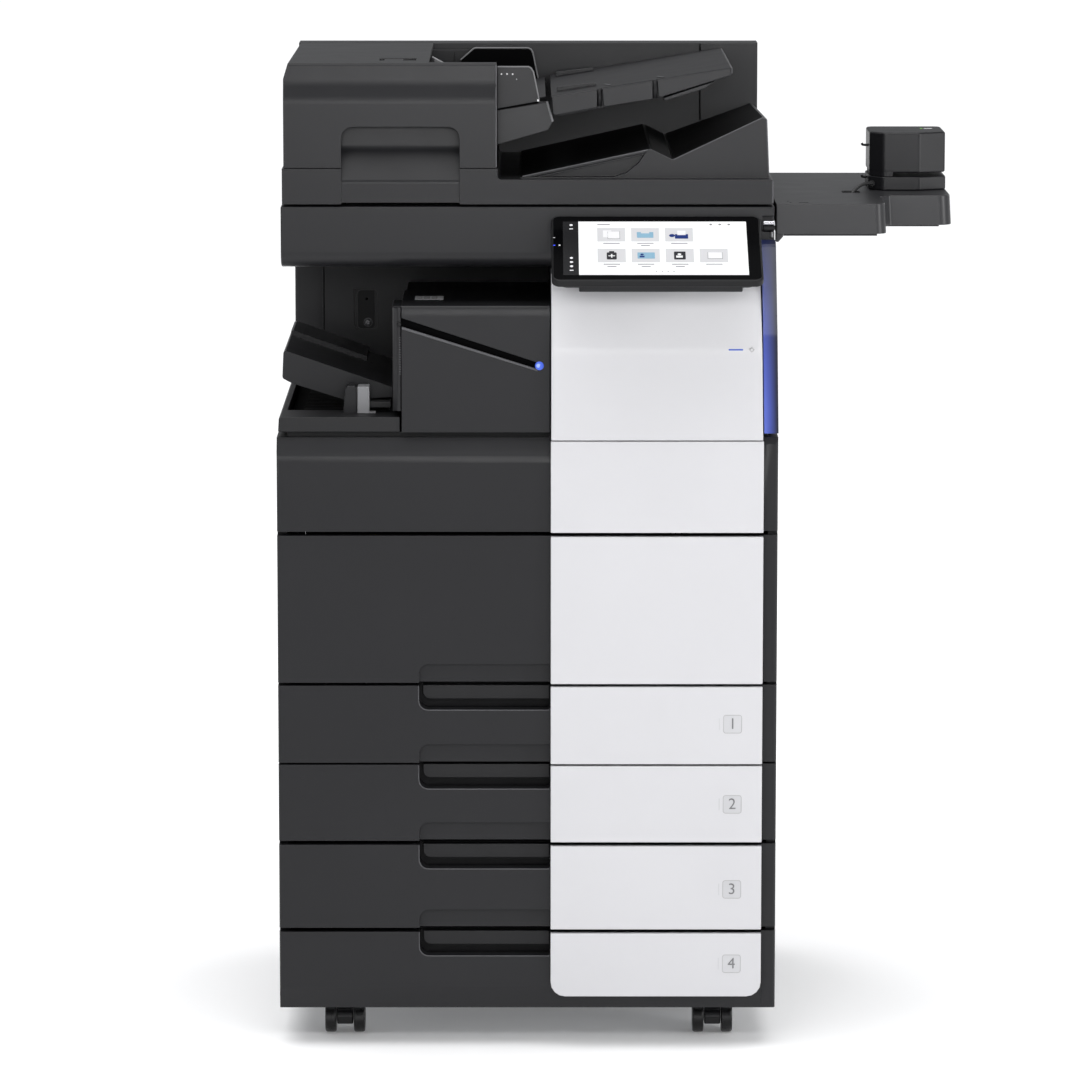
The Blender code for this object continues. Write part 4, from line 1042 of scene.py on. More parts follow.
def make_paper_stop():
    """Two-tone paper stop that stands in the finisher's tray, and its foot."""
    stop = prism("Y", rounded([(-0.2093, 0.7885), (-0.1942, 0.7885), (-0.1945, 0.8222, 0.0015),
                               (-0.2092, 0.8222, 0.0015)]), *STOP_Y)
    piece("paper_stop_pale", stop, "stop_grey", "root", "grey_plastic", bevel=0.0012, segments=3)
    dark = prism("Y", rounded([(-0.2270, 0.7885), (-0.2102, 0.7885), (-0.2106, 0.8235, 0.003),
                               (-0.2236, 0.8235, 0.005)]), *STOP_Y)
    piece("paper_stop_dark", dark, "dark_plastic", bevel=0.0012, segments=3)
    block("paper_stop_foot", (-0.1950, -0.1870), (0.0430, 0.0560), (0.7892, 0.7915), "mid_grey", "root",
          "grey_plastic", bevel=0.0004)


def make_bay_wall():
    """Rail, skirt, recess with its screw, and seam on the rear wall of the output bay; a painted highlight
    ring round the screw, and painted shade in the rail's slot and the hole.
    """
    wall, recess = BAY_WALL, BAY_RECESS
    block("bay_rail", (-0.2540, -0.1580), (wall - 0.0120, wall - 0.0004), (0.9545, 0.9600), "mid_grey",
          "root", "grey_plastic", bevel=0.0008)
    # painted shade: a near-black strip in the rail's slot
    block("bay_rail_slot", (-0.2460, -0.2080), (wall - 0.0130, wall - 0.0100), (0.9585, 0.9612),
          "void")
    block("bay_wall_skirt", (-0.2240, -0.1540), (wall - 0.0016, wall + 0.0010), (0.9290, 0.9540),
          "plate_black", bevel=0.0006)
    outer = rectangle(-0.2210, -0.1940, 0.8495, 0.9010, 0.0050)
    inner = rectangle(-0.2200, -0.1950, 0.8505, 0.9000, 0.0042)
    piece("bay_recess_rim", ring_plate("Y", outer, inner, wall - 0.0005, wall + 0.0004), "mid_black")
    piece("bay_recess_floor", prism("Y", inner, recess - 0.0004, recess + 0.0002), "deep_black")
    block("bay_seam", (-0.2646, -0.2632), (wall - 0.0002, wall + 0.0006), (0.8300, 0.9600), "void")
    # painted shade: a near-black hole
    hole = turned("Y", (-0.2087, recess, 0.8885), [(0.0006, 0.0018), (-0.0006, 0.0018), (-0.0006, 0.0001)],
                  20)
    piece("bay_hole", hole, "void")
    piece("bay_screw", screw(-0.2070, recess - 0.0002, 0.8580, "Y", -1.0, 0.0040), "dark_steel", "root",
          "frame_steel")
    # painted highlight: a light ring round the screw head
    ring = ring_plate("Y", circle(-0.2070, 0.8580, 0.0058, 28), circle(-0.2070, 0.8580, 0.0048, 28),
                      recess - 0.0006, recess + 0.0004)
    piece("bay_screw_highlight_ring", ring, "highlight_and_mark_grey")


def make_tray_well():
    """Rod of the tray with its tip and socket, and the ribbed well below it, its floor near-black as painted
    shade.
    """
    wire("tray_rod", [(-0.2530, 0.2465, 0.8392), (-0.2480, ROD_Y, 0.8404), (-0.2060, ROD_Y, 0.8262),
                      (-0.2025, ROD_Y, 0.8250)], 0.0024, "dark_plastic")
    tip = turned("X", (-0.2040, ROD_Y, 0.8255), [(-0.0030, 0.0030), (0.0010, 0.0032), (0.0022, 0.0022),
                                                  (0.0026, 0.0002)], 20)
    piece("tray_rod_tip", tip, "mid_grey", "root", "grey_plastic")
    socket = turned("X", (-0.1985, ROD_Y, 0.8237), [(-0.0030, 0.0048), (0.0022, 0.0048), (0.0030, 0.0030),
                                                     (0.0032, 0.0002)], 24)
    piece("tray_rod_socket", socket, "deep_black")
    # painted shade: a near-black floor in the dark cavity under the tray
    block("tray_well_floor_shade", (-0.2955, -0.1725), (0.0755, 0.3995), (0.7762, 0.7768), "void")
    grooves = [slab((-0.2800, -0.1850), (y, y + 0.0016), (0.7766, 0.7774)) for y in
               row(0.0950, 0.0150, 20)]
    piece("tray_well_ribs", merged(grooves), "deep_black")


# ---------------------------------------------------------------- document feeder

FEEDER_TOP = 1.2196
TRAY_FRONT = 0.0600
TRAY_LOW = (0.0275, 1.1784)     # lower end of the document tray's upper face, as (x, z)
TRAY_SLOPE = 0.1580
TRAY_END = 0.2500


def tray_top(x):
    """Height of the document tray's upper face at x."""
    return TRAY_LOW[1] + (x - TRAY_LOW[0]) * TRAY_SLOPE


def make_feeder_top():
    """Latch bar, guide plate, flap with a blank label and strut seen through the notch of the cover; painted
    shade in the latch's gaps and on the guide plate, and painted highlights on the edges of the plate and the
    flap.
    """
    block("cover_latch_bar", (-0.1764, -0.1534), (0.1020, 0.1360), (FEEDER_TOP - 0.0032, FEEDER_TOP - 0.0006),
          "dark_plastic", "feeder_cover", bevel=0.0006)
    # painted shade: near-black strips in the gaps beside the latch bar
    for name, x0, x1 in (("left", -0.1822, -0.1768), ("right", -0.1530, -0.1372)):
        block("cover_latch_gap_" + name, (x0, x1), (0.0955, 0.1395),
              (FEEDER_TOP - 0.0034, FEEDER_TOP - 0.0028), "void", "feeder_cover")
    # the guide plate is near-black, painted shade deep in the entry
    outline = [(-0.0850, 1.1880), (-0.0850, 1.1992), (-0.0683, 1.2128), (0.0012, 1.2128), (0.0040, 1.2112),
               (0.0068, 1.2045), (0.0134, 1.1716), (0.0134, 1.1600)]
    piece("entry_guide_plate", prism("Y", outline, 0.4275, 0.4296), "void", "feeder")
    # painted highlight: a light bead along the guide plate's edge
    rim = [(-0.0858, 1.1990), (-0.0690, 1.2137), (-0.0660, 1.2143), (0.0010, 1.2143), (0.0042, 1.2128),
           (0.0066, 1.2090), (0.0142, 1.1720)]
    wire("entry_guide_edge_highlight", [(x, 0.4290, z) for x, z in rim], 0.0012, "mid_grey", "feeder")
    flap = prism("Y", [(-0.1200, 1.1980), (-0.1196, 1.2120), (-0.1178, 1.2132), (-0.1000, 1.2020),
                       (-0.0960, 1.1940)], 0.2600, 0.2640)
    piece("entry_flap", flap, "mid_black", "feeder", bevel=0.0004)
    label = prism("Y", [(-0.1170, 1.2030), (-0.1170, 1.2104), (-0.1150, 1.2108), (-0.1040, 1.2036),
                        (-0.1030, 1.2000)], 0.2590, 0.2602)
    piece("entry_flap_label", label, "mid_grey", "feeder", "grey_plastic")
    # painted highlight: a pale bead along the flap's top edge
    wire("entry_flap_edge_highlight", [(-0.1196, 0.2600, 1.2136), (-0.1000, 0.2600, 1.2030)], 0.0008, "pale_grey",
         "feeder")
    strut = prism("Y", [(-0.0960, 1.1960), (-0.0935, 1.2140), (-0.0922, 1.2140), (-0.0912, 1.1960)], 0.3700,
                  0.3720)
    piece("entry_strut", strut, "deep_black", "feeder", bevel=0.0003)


def make_feeder_entry():
    """Front guide plates beside the paper entry, with their seam, painted highlights as bright beads on their
    edges, and tiny dots.
    """
    face = 0.0680
    upper = rounded([(-0.0370, 1.1624), (0.0138, 1.1716), (0.0138, 1.1760), (0.0074, 1.2045, 0.004),
                     (0.0020, 1.2130, 0.002), (-0.0370, 1.2130)])
    piece("entry_upper_plate", prism("Y", upper, face - 0.0016, face - 0.0002), "dark_plastic", "feeder",
          bevel=0.0005)
    # painted highlight: a light bead along the upper plate's top edge
    rim = [(-0.0366, 1.2136), (0.0014, 1.2136), (0.0044, 1.2120), (0.0072, 1.2070), (0.0140, 1.1740)]
    wire("entry_upper_edge_highlight", [(x, face - 0.0010, z) for x, z in rim], 0.0010, "mid_grey", "feeder")
    lower = rounded([(-0.0370, 1.1184), (0.0254, 1.1362, 0.002), (0.0308, 1.1465, 0.001), (0.0245, 1.1700),
                     (-0.0370, 1.1604)])
    piece("entry_lower_plate", prism("Y", lower, face - 0.0024, face - 0.0002), "plate_black", "feeder",
          bevel=0.0006)
    # painted highlight: a light bead on the lower plate's right end
    wire("entry_lower_edge_highlight", [(0.0240, face - 0.0020, 1.1712), (0.0308, face - 0.0020, 1.1468)], 0.0015,
         "mid_grey", "feeder")
    seam = [(-0.0370, 1.1602), (-0.0370, 1.1624), (0.0138, 1.1716), (0.0138, 1.1690)]
    piece("entry_seam", prism("Y", seam, face - 0.0008, face + 0.0004), "void", "feeder")
    dots = [turned("Y", (x, face - 0.0017, z), [(0.0003, 0.0010), (-0.0003, 0.0009), (-0.0004, 0.0001)], 12)
            for x, z in ((-0.0319, 1.2048), (-0.0251, 1.2048), (-0.0182, 1.2046))]
    piece("entry_dots", merged(dots), "lamp_white", "feeder", "grey_plastic")
    small = turned("Y", (-0.0133, face - 0.0017, 1.1985), [(0.0003, 0.0007), (-0.0003, 0.0006),
                                                           (-0.0004, 0.0001)], 12)
    piece("entry_dot_small", small, "pale_grey", "feeder", "grey_plastic")
    block("entry_clip", (0.0118, 0.0142), (face - 0.0026, face), (1.1712, 1.1738), "lamp_white", "feeder",
          "grey_plastic", bevel=0.0004)
    low, high = -0.0200, 0.0222
    ledge = prism("Y", [(low, tray_top(low) - 0.0020), (high, tray_top(high) - 0.0020),
                        (high, tray_top(high) - 0.0006), (low, tray_top(low) - 0.0006)], 0.0760, 0.4260)
    piece("entry_ledge", ledge, "tray_black", "feeder", bevel=0.0005)


def make_document_tray():
    """Stepped front lips with painted shade in the gaps between them, underside rail, size marks and a
    painted highlight along the end of the sloping tray.
    """
    def lip(name, x0, x1, drop, z0, z1, y0, turn):
        outline = [(x0 + 0.002, z0, 0.003), (x1, z1, 0.001), (x1, tray_top(x1) - drop, 0.001),
                   (x0, tray_top(x0) - drop, 0.001)]
        shape = prism("Y", rounded(outline), y0, TRAY_FRONT + 0.0010)
        piece(name, shape, "dark_plastic", "document_tray", bevel=turn, segments=4)

    lip("document_tray_lip_deep", 0.0295, 0.0850, 0.0006, 1.1548, 1.1648, 0.0525, 0.0034)
    lip("document_tray_lip_mid", 0.0912, 0.1530, 0.0010, 1.1652, 1.1748, 0.0555, 0.0024)
    # painted shade: dark upright rods in the gaps between the lips
    for index, x in enumerate((0.0878, 0.1558)):
        cove = turned("Z", (x, 0.0590, 0.0), [(1.1658 + 0.0100 * index, 0.0032),
                                              (tray_top(x) - 0.0014, 0.0032)], 24)
        piece("document_tray_cove_%d" % (index + 1), cove, "deep_black", "document_tray")
    nose = turned("Z", (0.0345, 0.0585, 0.0), [(1.1575, 0.0040), (tray_top(0.0345) - 0.0010, 0.0048)], 24)
    piece("document_tray_nose", nose, "deep_black", "document_tray")
    lip("document_tray_lip_right", 0.1584, 0.2485, 0.0010, 1.1762, 1.2035, 0.0585, 0.0014)
    rail = rounded([(0.1620, 1.1745, 0.002), (0.1700, 1.1722, 0.003), (0.2180, 1.1872, 0.003),
                    (0.2290, 1.1965)])
    piece("document_tray_rail", prism("Y", rail, 0.0640, 0.0900), "dark_plastic", "document_tray",
          bevel=0.001)
    marks = []
    for x, y in ((0.0930, 0.1100), (0.1580, 0.0980)):
        z = tray_top(x) + 0.0006
        mark = prism("Z", [(x, y), (x + 0.0030, y), (x + 0.0100, y - 0.0320), (x + 0.0070, y - 0.0320)], z,
                     z + 0.0003)
        for vert in mark.verts:
            vert.co.z += (vert.co.x - x) * TRAY_SLOPE
        marks.append(mark)
    piece("document_tray_marks", merged(marks), "highlight_and_mark_grey", "document_tray")
    # painted highlight: a light bead along the tray's end
    end = (TRAY_END - 0.0004, tray_top(TRAY_END) - 0.001)
    front = TRAY_FRONT + 0.0010
    rim = [(end[0], front, 1.2060), (end[0], front, end[1]), (end[0], 0.4380, end[1])]
    wire("document_tray_end_highlight", rim, 0.0009, "highlight_and_mark_grey", "document_tray")


def make_output_ramp():
    """Painted shade as dark skins on the output ramps, painted highlights as lines along their edges, and the
    lip of the left ramp.
    """
    thick = 0.0008
    rear_fall = 0.0120

    def strip(name, x0, z0, x1, z1, look, y0=0.0520, y1=0.4530):
        shape = prism("Y", [(x0, z0), (x0, z0 + thick), (x1, z1 + thick), (x1, z1)], y0, y1)
        for vert in shape.verts:
            if vert.co.z > 1.1195 and vert.co.y > 0.3:
                vert.co.z -= rear_fall
        bmesh.ops.triangulate(shape, faces=shape.faces)
        piece(name, shape, look, "feeder")

    # painted shade: near-black skins over the ramp tops
    strip("output_ramp_shade_left", -0.0080, 1.0794, 0.1485, 1.1141, "ramp_painted_shade")
    strip("output_ramp_shade_notch", 0.1515, 1.1135, 0.1760, 1.1013, "ramp_painted_shade")
    strip("output_ramp_shade_right", 0.1790, 1.1020, 0.2870, 1.1526, "ramp_painted_shade")
    # painted highlights: light beads along the ramp's front edge, the ridge and the fascia; the second front
    # line is darker
    for index, drop in enumerate((0.0009, 0.0050)):
        start, end = (-0.0060 + 0.018 * index, 1.0805 - drop * 0.2), (0.1495, 1.1144 - drop)
        wire("output_edge_%d" % (index + 1), [(start[0], 0.0520, start[1]),
                                              (end[0] - 0.002, 0.0520, end[1] - 0.0003),
                                              (end[0] + 0.0012, 0.0520, end[1] - 0.0014)],
             0.0009 - 0.0003 * index, "highlight_and_mark_grey" if index == 0 else "mid_black", "feeder")
    wire("output_ridge_fall", [(0.1500, 0.0510, 1.1140), (0.1765, 0.0510, 1.1010), (0.1790, 0.0510, 1.1012)],
         0.0008, "highlight_and_mark_grey", "feeder")
    wire("output_fascia_edge", [(0.1785, 0.0506, 1.1010), (0.2872, 0.0506, 1.1524), (0.2918, 0.0506, 1.1508)],
         0.0008, "highlight_and_mark_grey", "feeder")
    wire("output_fascia_end", [(0.2922, 0.0506, 1.1500), (0.2950, 0.0506, 1.0840)], 0.0010, "highlight_and_mark_grey",
         "feeder")
    lip = [(-0.0060, 1.0772), (-0.0060, 1.0800), (0.1480, 1.1142), (0.1500, 1.1120), (0.1470, 1.1098)]
    piece("output_lip", prism("Y", lip, 0.0515, 0.0620), "dark_plastic", "feeder", bevel=0.0008, segments=3)


def make_feeder_wall():
    """Raised panel and seam of the wall behind the trays, and painted highlights as light beads on the end
    edges of the cover and slab.
    """
    block("feeder_wall_panel", (0.2232, 0.2955), (0.4532, 0.4556), (1.1200, FEEDER_TOP - 0.0012),
          "dark_plastic", "feeder", bevel=0.0008)
    block("feeder_wall_seam", (0.2218, 0.2230), (0.4543, 0.4556), (1.1200, FEEDER_TOP - 0.0012),
          "void", "feeder")
    # painted highlights: light beads down the right-hand ends of the cover and the slab
    edge_x = -0.0384
    front = 0.0306
    wire("cover_end_highlight", [(edge_x, front + 0.0003, 1.0940), (edge_x, front + 0.0003, 1.1780),
                            (edge_x, front + 0.0062, 1.1925), (edge_x, front + 0.0072, FEEDER_TOP - 0.0016)],
         0.0010, "highlight_and_mark_grey", "feeder_cover")
    end_x = local_box("feeder_base")[1].x - 0.0006
    wire("slab_end_highlight", [(end_x, 0.0308, 1.0500), (end_x, 0.0308, 1.0765)], 0.0012,
         "highlight_and_mark_grey", "feeder")


def make_lid_inside():
    """White pad under the feeder lid, and the feeder's hinges."""
    block("platen_pad", (-0.2240, 0.2240), (0.0810, 0.3990), (1.04585, 1.0480), "pad_white", "feeder",
          "white_plastic", bevel=0.0008)
    axis_y, axis_z = 0.5110, 1.0470
    for name, x in (("left", -0.2000), ("right", 0.2000)):
        arm = prism("X", rounded([(0.5056, 1.0504), (0.5114, 1.0504), (0.5190, 1.0700, 0.003),
                                  (0.5190, 1.0960, 0.006), (0.5056, 1.1080, 0.003)]), x - 0.0260, x + 0.0260)
        piece("lid_hinge_" + name, arm, "dark_plastic", "feeder", bevel=0.0010, segments=3)
        pin = turned("X", (x, axis_y, axis_z), [(-0.0300, 0.0001), (-0.0300, 0.0026), (0.0300, 0.0026),
                                                (0.0300, 0.0001)], 24)
        piece("lid_hinge_pin_" + name, pin, "dark_steel", "root", "frame_steel")


# ---------------------------------------------------------------- scanner

def make_scanner():
    """Chrome pin in the pocket beside the panel, its collar, glass frame strips and carriage lamp."""
    pin = turned("X", (0.2880, 0.0290, 1.0255), [(0.0, 0.0001), (0.0, 0.0022), (0.0008, 0.0030),
                                                 (0.0120, 0.0030), (0.0128, 0.0036), (0.0142, 0.0036),
                                                 (0.0146, 0.0001)], 28)
    piece("panel_pin", pin, "chrome", "root", "frame_steel")
    collar = turned("X", (0.2890, 0.0305, 1.0190), [(0.0, 0.0001), (0.0, 0.0040), (0.0125, 0.0040),
                                                    (0.0125, 0.0001)], 24)
    piece("panel_pin_collar", collar, "deep_black", bevel=0.0006)
    stay = turned("Z", (0.2985, 0.0262, 1.0080), [(0.0, 0.0001), (0.0, 0.0019), (0.0068, 0.0019),
                                                  (0.0068, 0.0001)], 20)
    piece("panel_stay", stay, "dark_steel", "root", "frame_steel", bevel=0.0004)
    side = [slab((sign * 0.3017 - 0.0002, sign * 0.3017 + 0.0002), (0.060, 0.555), (0.9840, 0.9852))
            for sign in (-1.0, 1.0)]
    piece("scanner_seams", merged(side), "void")
    block("glass_edge_strip", (-0.2340, -0.2270), (0.0790, 0.4010), (1.0449, 1.0457), "pale_grey", "root",
          "grey_plastic")
    block("carriage_lamp", (-0.2440, -0.2360), (0.0800, 0.4100), (1.0296, 1.0306), "lamp_white",
          "scan_carriage", "white_plastic")


# ---------------------------------------------------------------- sides and back

SIDE = 0.3075               # half the width of the body
BACK = 0.5880               # outer face of the rear cover
COVER_Y = (0.040, 0.560)    # seams of the side covers
LOW_COVER_Z = (0.0700, 0.4600)
SLAT_STEP = 0.0095
SLAT_WIDTH = 0.0050
SKIN_DEEP = 0.0004          # how far thin marks reach into the face that they lie on
VENT_TURN = 0.004
HOLD_TURN = 0.006
HOLD_RIM = 0.004


def depths(face, out, inward, outward):
    """Range from inward of a face to outward of it; out is +1 or -1, the way the face looks."""
    return tuple(sorted((face - out * inward, face + out * outward)))


def bar(axis, depth, u_range, z_range):
    """Rectangular solid on a side face (axis X) or the rear face (axis Y)."""
    return slab(depth, u_range, z_range) if axis == "X" else slab(u_range, depth, z_range)


def vent(names, axis, face, out, mouth_u, mouth_z, slat_u, start, count, step=SLAT_STEP, width=SLAT_WIDTH,
         height=0.0014):
    """Near-black mouth, painted shade of the opening, with a row of raised slats before it; step goes up."""
    # painted shade: a flat near-black sheet where the vent opens
    mouth = prism(axis, rectangle(*mouth_u, *mouth_z, VENT_TURN), *depths(face, out, SKIN_DEEP, 0.0002))
    piece(names % "mouth", mouth, "void")
    depth = depths(face, out, 0.0003, height)
    slats = [bar(axis, depth, slat_u, (z, z + width)) for z in row(start, step, count)]
    piece(names % "slats", merged(slats), "dark_plastic", bevel=0.0006)


def panel_line(axis, face, out, u_range, z_range, width=0.0012):
    """Thin dark seam round a rectangle on a side or rear face, standing 0.15 mm proud of it."""
    (u0, u1), (z0, z1) = u_range, z_range
    depth = depths(face, out, SKIN_DEEP, 0.00015)
    edges = ((u_range, (z0, z0 + width)), (u_range, (z1 - width, z1)), ((u0, u0 + width), z_range),
             ((u1 - width, u1), z_range))
    return [bar(axis, depth, *edge) for edge in edges]


def hand_hold(frame_name, mouth_name, face, out, u_range, z_range, body="root"):
    """Recess frame with a near-black mouth, painted shade of the hollow, for lifting or pulling, on a side
    face.
    """
    inner = rectangle(*shrunk(u_range, HOLD_RIM), *shrunk(z_range, HOLD_RIM), HOLD_RIM)
    ring = ring_plate("X", rectangle(*u_range, *z_range, HOLD_TURN), inner,
                      *depths(face, out, 0.0005, 0.0010))
    piece(frame_name, ring, "dark_plastic", body, bevel=0.0004)
    # painted shade: a flat near-black sheet in the hollow
    piece(mouth_name, prism("X", inner, *depths(face, out, 0.0, 0.0002)), "void", body)


def side_cover(side, face, out, screw_heights):
    """Carrying grips and screws that both side covers have."""
    for name, u0 in (("front", 0.070), ("rear", 0.430)):
        names = side + "_hold_" + name, side + "_hold_mouth_" + name
        hand_hold(*names, face, out, (u0, u0 + 0.110), (0.3900, 0.4300))
    screws = [screw(face, y, z, "X", out) for y in (0.052, 0.548) for z in screw_heights]
    piece(side + "_screws", merged(screws), "dark_steel", "root", "frame_steel")


def make_left_side():
    """Left cover: panel seams, cooling slats, carrying grips and screws."""
    face, out = -SIDE, -1.0
    seams = panel_line("X", face, out, COVER_Y, (0.4700, 0.7500))
    seams += panel_line("X", face, out, COVER_Y, LOW_COVER_Z)
    piece("left_seams", merged(seams), "void")
    vent("left_vent_%s", "X", face, out, (0.372, 0.528), (0.610, 0.720), (0.375, 0.525), 0.6135, 11)
    vent("left_vent_%s_low", "X", face, out, (0.092, 0.248), (0.500, 0.560), (0.095, 0.245), 0.5025, 6)
    side_cover("left", face, out, (0.0850, 0.4820, 0.7380))


def make_right_side():
    """Right side: door lever, bypass tray grip and guides, seams, slats, hook and switch cover."""
    face, out = SIDE, 1.0
    piece("right_seams", merged(panel_line("X", face, out, COVER_Y, LOW_COVER_Z)), "void")
    hand_hold("door_lever_frame", "door_lever_mouth", face, out, (0.2700, 0.3800), (0.7120, 0.7420),
              "right_door")
    block("door_lever", (face - 0.0005, face + 0.0022), (0.2780, 0.3720), (0.7260, 0.7375), "dark_plastic",
          "right_door", bevel=0.0012, segments=3)
    hand_hold("bypass_grip_frame", "bypass_grip_mouth", face, out, (0.2850, 0.3650), (0.6660, 0.6900),
              "bypass_tray")
    ribs = [slab((face - 0.0004, face + 0.0009), (y, y + 0.0035), (0.5060, 0.6500))
            for y in row(0.1700, 0.0300, 11)]
    piece("bypass_ribs", merged(ribs), "dark_plastic", "bypass_tray", bevel=0.0005)
    inner = face - 0.0060
    guides = [slab((inner - 0.0012, inner + 0.0002), (y, y + 0.0060), (0.5150, 0.6400))
              for y in (0.200, 0.444)]
    piece("bypass_guides", merged(guides), "grey_plastic", "bypass_tray", "grey_plastic", bevel=0.0004)
    vent("right_vent_%s", "X", face, out, (0.402, 0.538), (0.110, 0.220), (0.405, 0.535), 0.1135, 11)
    side_cover("right", face, out, (0.0850, 0.4420, 0.7300))
    hook = [(face - 0.0005, 0.0900, 0.4420), (face + 0.0020, 0.0900, 0.4418), (face + 0.0030, 0.0900, 0.4432)]
    wire("right_hook", hook, 0.0009, "deep_black")
    block("switch_cover", (face - 0.0005, face + 0.0012), (0.0450, 0.0750), (0.6000, 0.6500), "dark_plastic",
          bevel=0.0008)
    tower = local_box("right_tower")[1].x
    vent("tower_vent_%s", "X", tower, out, (0.300, 0.520), (0.800, 0.905), (0.303, 0.517), 0.8040, 11,
         step=0.0092, width=0.0048, height=0.0012)


def make_inlet(face):
    """Power inlet: steel frame, dark core and its three pins."""
    ring = ring_plate("Y", rectangle(0.1120, 0.2080, 0.1120, 0.1780, 0.004),
                      rectangle(0.1205, 0.1995, 0.1205, 0.1695, 0.002), face - 0.0004, face + 0.0012)
    piece("inlet_frame", ring, "dark_steel", "root", "frame_steel", bevel=0.0004)
    well = face - 0.0080
    core = rounded([(0.1440, 0.1310, 0.002), (0.1760, 0.1310, 0.002), (0.1760, 0.1500, 0.005),
                    (0.1440, 0.1500, 0.005)])
    piece("inlet_core", prism("Y", core, well - 0.0002, well + 0.0050), "deep_black", bevel=0.0005)
    pins = [slab((x - 0.0012, x + 0.0012), (well + 0.0045, well + 0.0062), (z, z + 0.0060))
            for x, z in ((0.1520, 0.1350), (0.1600, 0.1405), (0.1680, 0.1350))]
    piece("inlet_pins", merged(pins), "chrome", "root", "frame_steel")


def make_back():
    """Rear cover: panels, slats, power inlet, interface plate, filter cover, screws and cable clips."""
    face, out = BACK, 1.0
    seams = []
    for u_range, z_range in (((-0.2850, -0.0100), (0.4700, 0.9500)), ((0.0000, 0.2850), (0.4700, 0.9500)),
                             ((-0.2850, 0.2850), LOW_COVER_Z)):
        seams += panel_line("Y", face, out, u_range, z_range)
    piece("rear_seams", merged(seams), "void")
    for name, u0, z0, count in (("upper", -0.2450, 0.7800, 13), ("lower", -0.2450, 0.5200, 9),
                                ("right", 0.0600, 0.8000, 11)):
        slat_u = (u0, u0 + 0.1700)
        mouth_z = (z0 - 0.004, z0 + SLAT_STEP * count + 0.002)
        vent("rear_vent_%s_" + name, "Y", face, out, shrunk(slat_u, -0.004), mouth_z, slat_u, z0, count)
    make_inlet(face)
    block("interface_plate", (0.0450, 0.2350), (face - 0.0004, face + 0.0010), (0.5400, 0.6600),
          "frame_steel", "root", "frame_steel", bevel=0.0006)
    ports = [slab((x, x + 0.0180), (face + 0.0006, face + 0.0014), (z, z + 0.0140))
             for x in row(0.0600, 0.0350, 5) for z in (0.5600, 0.6000)]
    # painted shade: near-black plates for the port openings
    piece("interface_ports", merged(ports), "void")
    block("filter_cover", (-0.2400, -0.0700), (face - 0.0004, face + 0.0030), (0.3200, 0.4100),
          "dark_plastic", bevel=0.0016, segments=3)
    slots = [slab((x, x + 0.0060), (face + 0.0026, face + 0.0032), (0.3350, 0.3950))
             for x in row(-0.2300, 0.0125, 13)]
    # painted shade: near-black plates for the filter cover's slots
    piece("filter_slots", merged(slots), "void")
    upper_z = (0.4880, 0.7100, 0.9350)
    places = [(x, z) for x in (-0.2760, 0.2760) for z in (0.0900, 0.4400, *upper_z)]
    places += [(-0.0050, z) for z in upper_z]
    piece("rear_screws", merged([screw(x, face, z, "Y", out) for x, z in places]), "dark_steel", "root",
          "frame_steel")
    clip_x = 0.2500
    clip = rounded([(clip_x - 0.010, face - 0.0005), (clip_x + 0.010, face - 0.0005),
                    (clip_x + 0.010, face + 0.006, 0.003), (clip_x - 0.010, face + 0.006, 0.003)])
    clips = [prism("Z", clip, z, z + 0.008) for z in (0.2300, 0.4300)]
    piece("cable_clips", merged(clips), "deep_black", bevel=0.0008)
    wall = local_box("feeder_base")[1].y
    ribs = [slab((x, x + 0.0030), (wall - 0.0003, wall + 0.0012), (1.0900, 1.2050))
            for x in row(-0.2600, 0.0650, 9)]
    piece("feeder_back_ribs", merged(ribs), "dark_plastic", "feeder", bevel=0.0005)
    scan_back = local_box("scanner_case")[1].y
    block("scanner_back_plate", (-0.2600, 0.2600), (scan_back - 0.0003, scan_back + 0.0012), (0.9800, 1.0300),
          "dark_plastic", bevel=0.0008)
    screws = [screw(x, scan_back + 0.0010, 1.0050, "Y", out) for x in (-0.2450, -0.0800, 0.0800, 0.2450)]
    piece("scanner_back_screws", merged(screws), "dark_steel", "root", "frame_steel")


# ---------------------------------------------------------------- inside

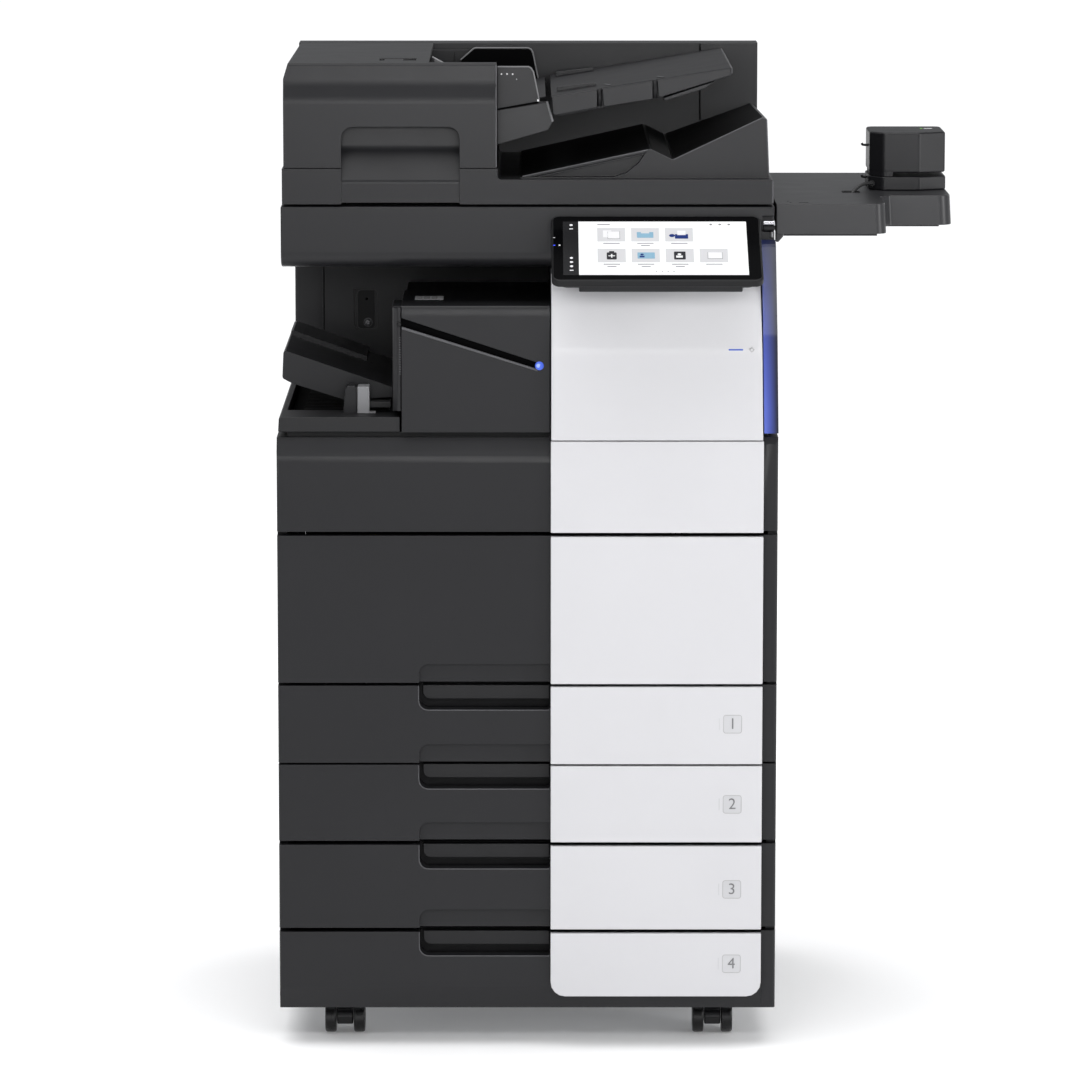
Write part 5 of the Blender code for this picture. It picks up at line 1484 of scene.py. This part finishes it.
def make_inside():
    """Paper in the bins, toner grips and caps, and ribs on the fuser."""
    for number in range(1, 5):
        low, high = local_box("drawer_%d_bin" % number)
        body = "drawer_%d" % number
        top = low.z + 0.0340 - 0.0040 * number
        sheets = slab((-0.2100, 0.2100), (0.1000, 0.3970), (low.z + 0.0035, top))
        piece("paper_stack_%d" % number, sheets, "paper", body, "white_plastic", bevel=0.0003)
        for side, y in (("front", 0.0860), ("rear", 0.4040)):
            fence = slab((-0.0300, 0.0300), (y - 0.0020, y + 0.0020), (low.z + 0.0032, low.z + 0.0380))
            piece("paper_fence_%s_%d" % (side, number), fence, "stop_grey", body, "grey_plastic",
                  bevel=0.0008)
    for ink in INKS:
        low, high = local_box("toner_cartridge_" + ink)
        x = (low.x + high.x) / 2.0
        cap = prism("Y", rectangle(x - 0.0240, x + 0.0240, 0.6800, 0.7280, 0.006), low.y - 0.0030,
                    low.y + 0.0010)
        piece("toner_cap_" + ink, cap, "deep_black", "root", "toner_" + ink, bevel=0.001)
        pull = prism("Y", rectangle(x - 0.0160, x + 0.0160, 0.6930, 0.7050, 0.003), low.y - 0.0065,
                     low.y - 0.0025)
        piece("toner_pull_" + ink, pull, "toner_" + ink, "root", "toner_" + ink, bevel=0.0012, segments=3)
    low, high = local_box("fuser_unit")
    ribs = [slab((low.x + 0.010, high.x - 0.018), (y, y + 0.0030), (high.z - 0.0005, high.z + 0.0040))
            for y in row(0.1100, 0.0400, 11)]
    piece("fuser_ribs", merged(ribs), "fuser_steel", "root", "fuser_steel", bevel=0.0005)


make_camera()
LOOKS = make_looks()
make_studio()
dress_nodes(LOOKS)
make_cord(LOOKS)
for make in (make_panel, make_badges, make_status_marks, make_grips, make_casters, make_stapler,
             make_table_marks, make_groove, make_finisher_marks, make_paper_stop, make_bay_wall,
             make_tray_well, make_feeder_top, make_feeder_entry, make_document_tray, make_output_ramp,
             make_feeder_wall, make_lid_inside, make_scanner, make_left_side, make_right_side, make_back,
             make_inside):
    make()
bpy.context.scene.view_settings.view_transform = "Standard"
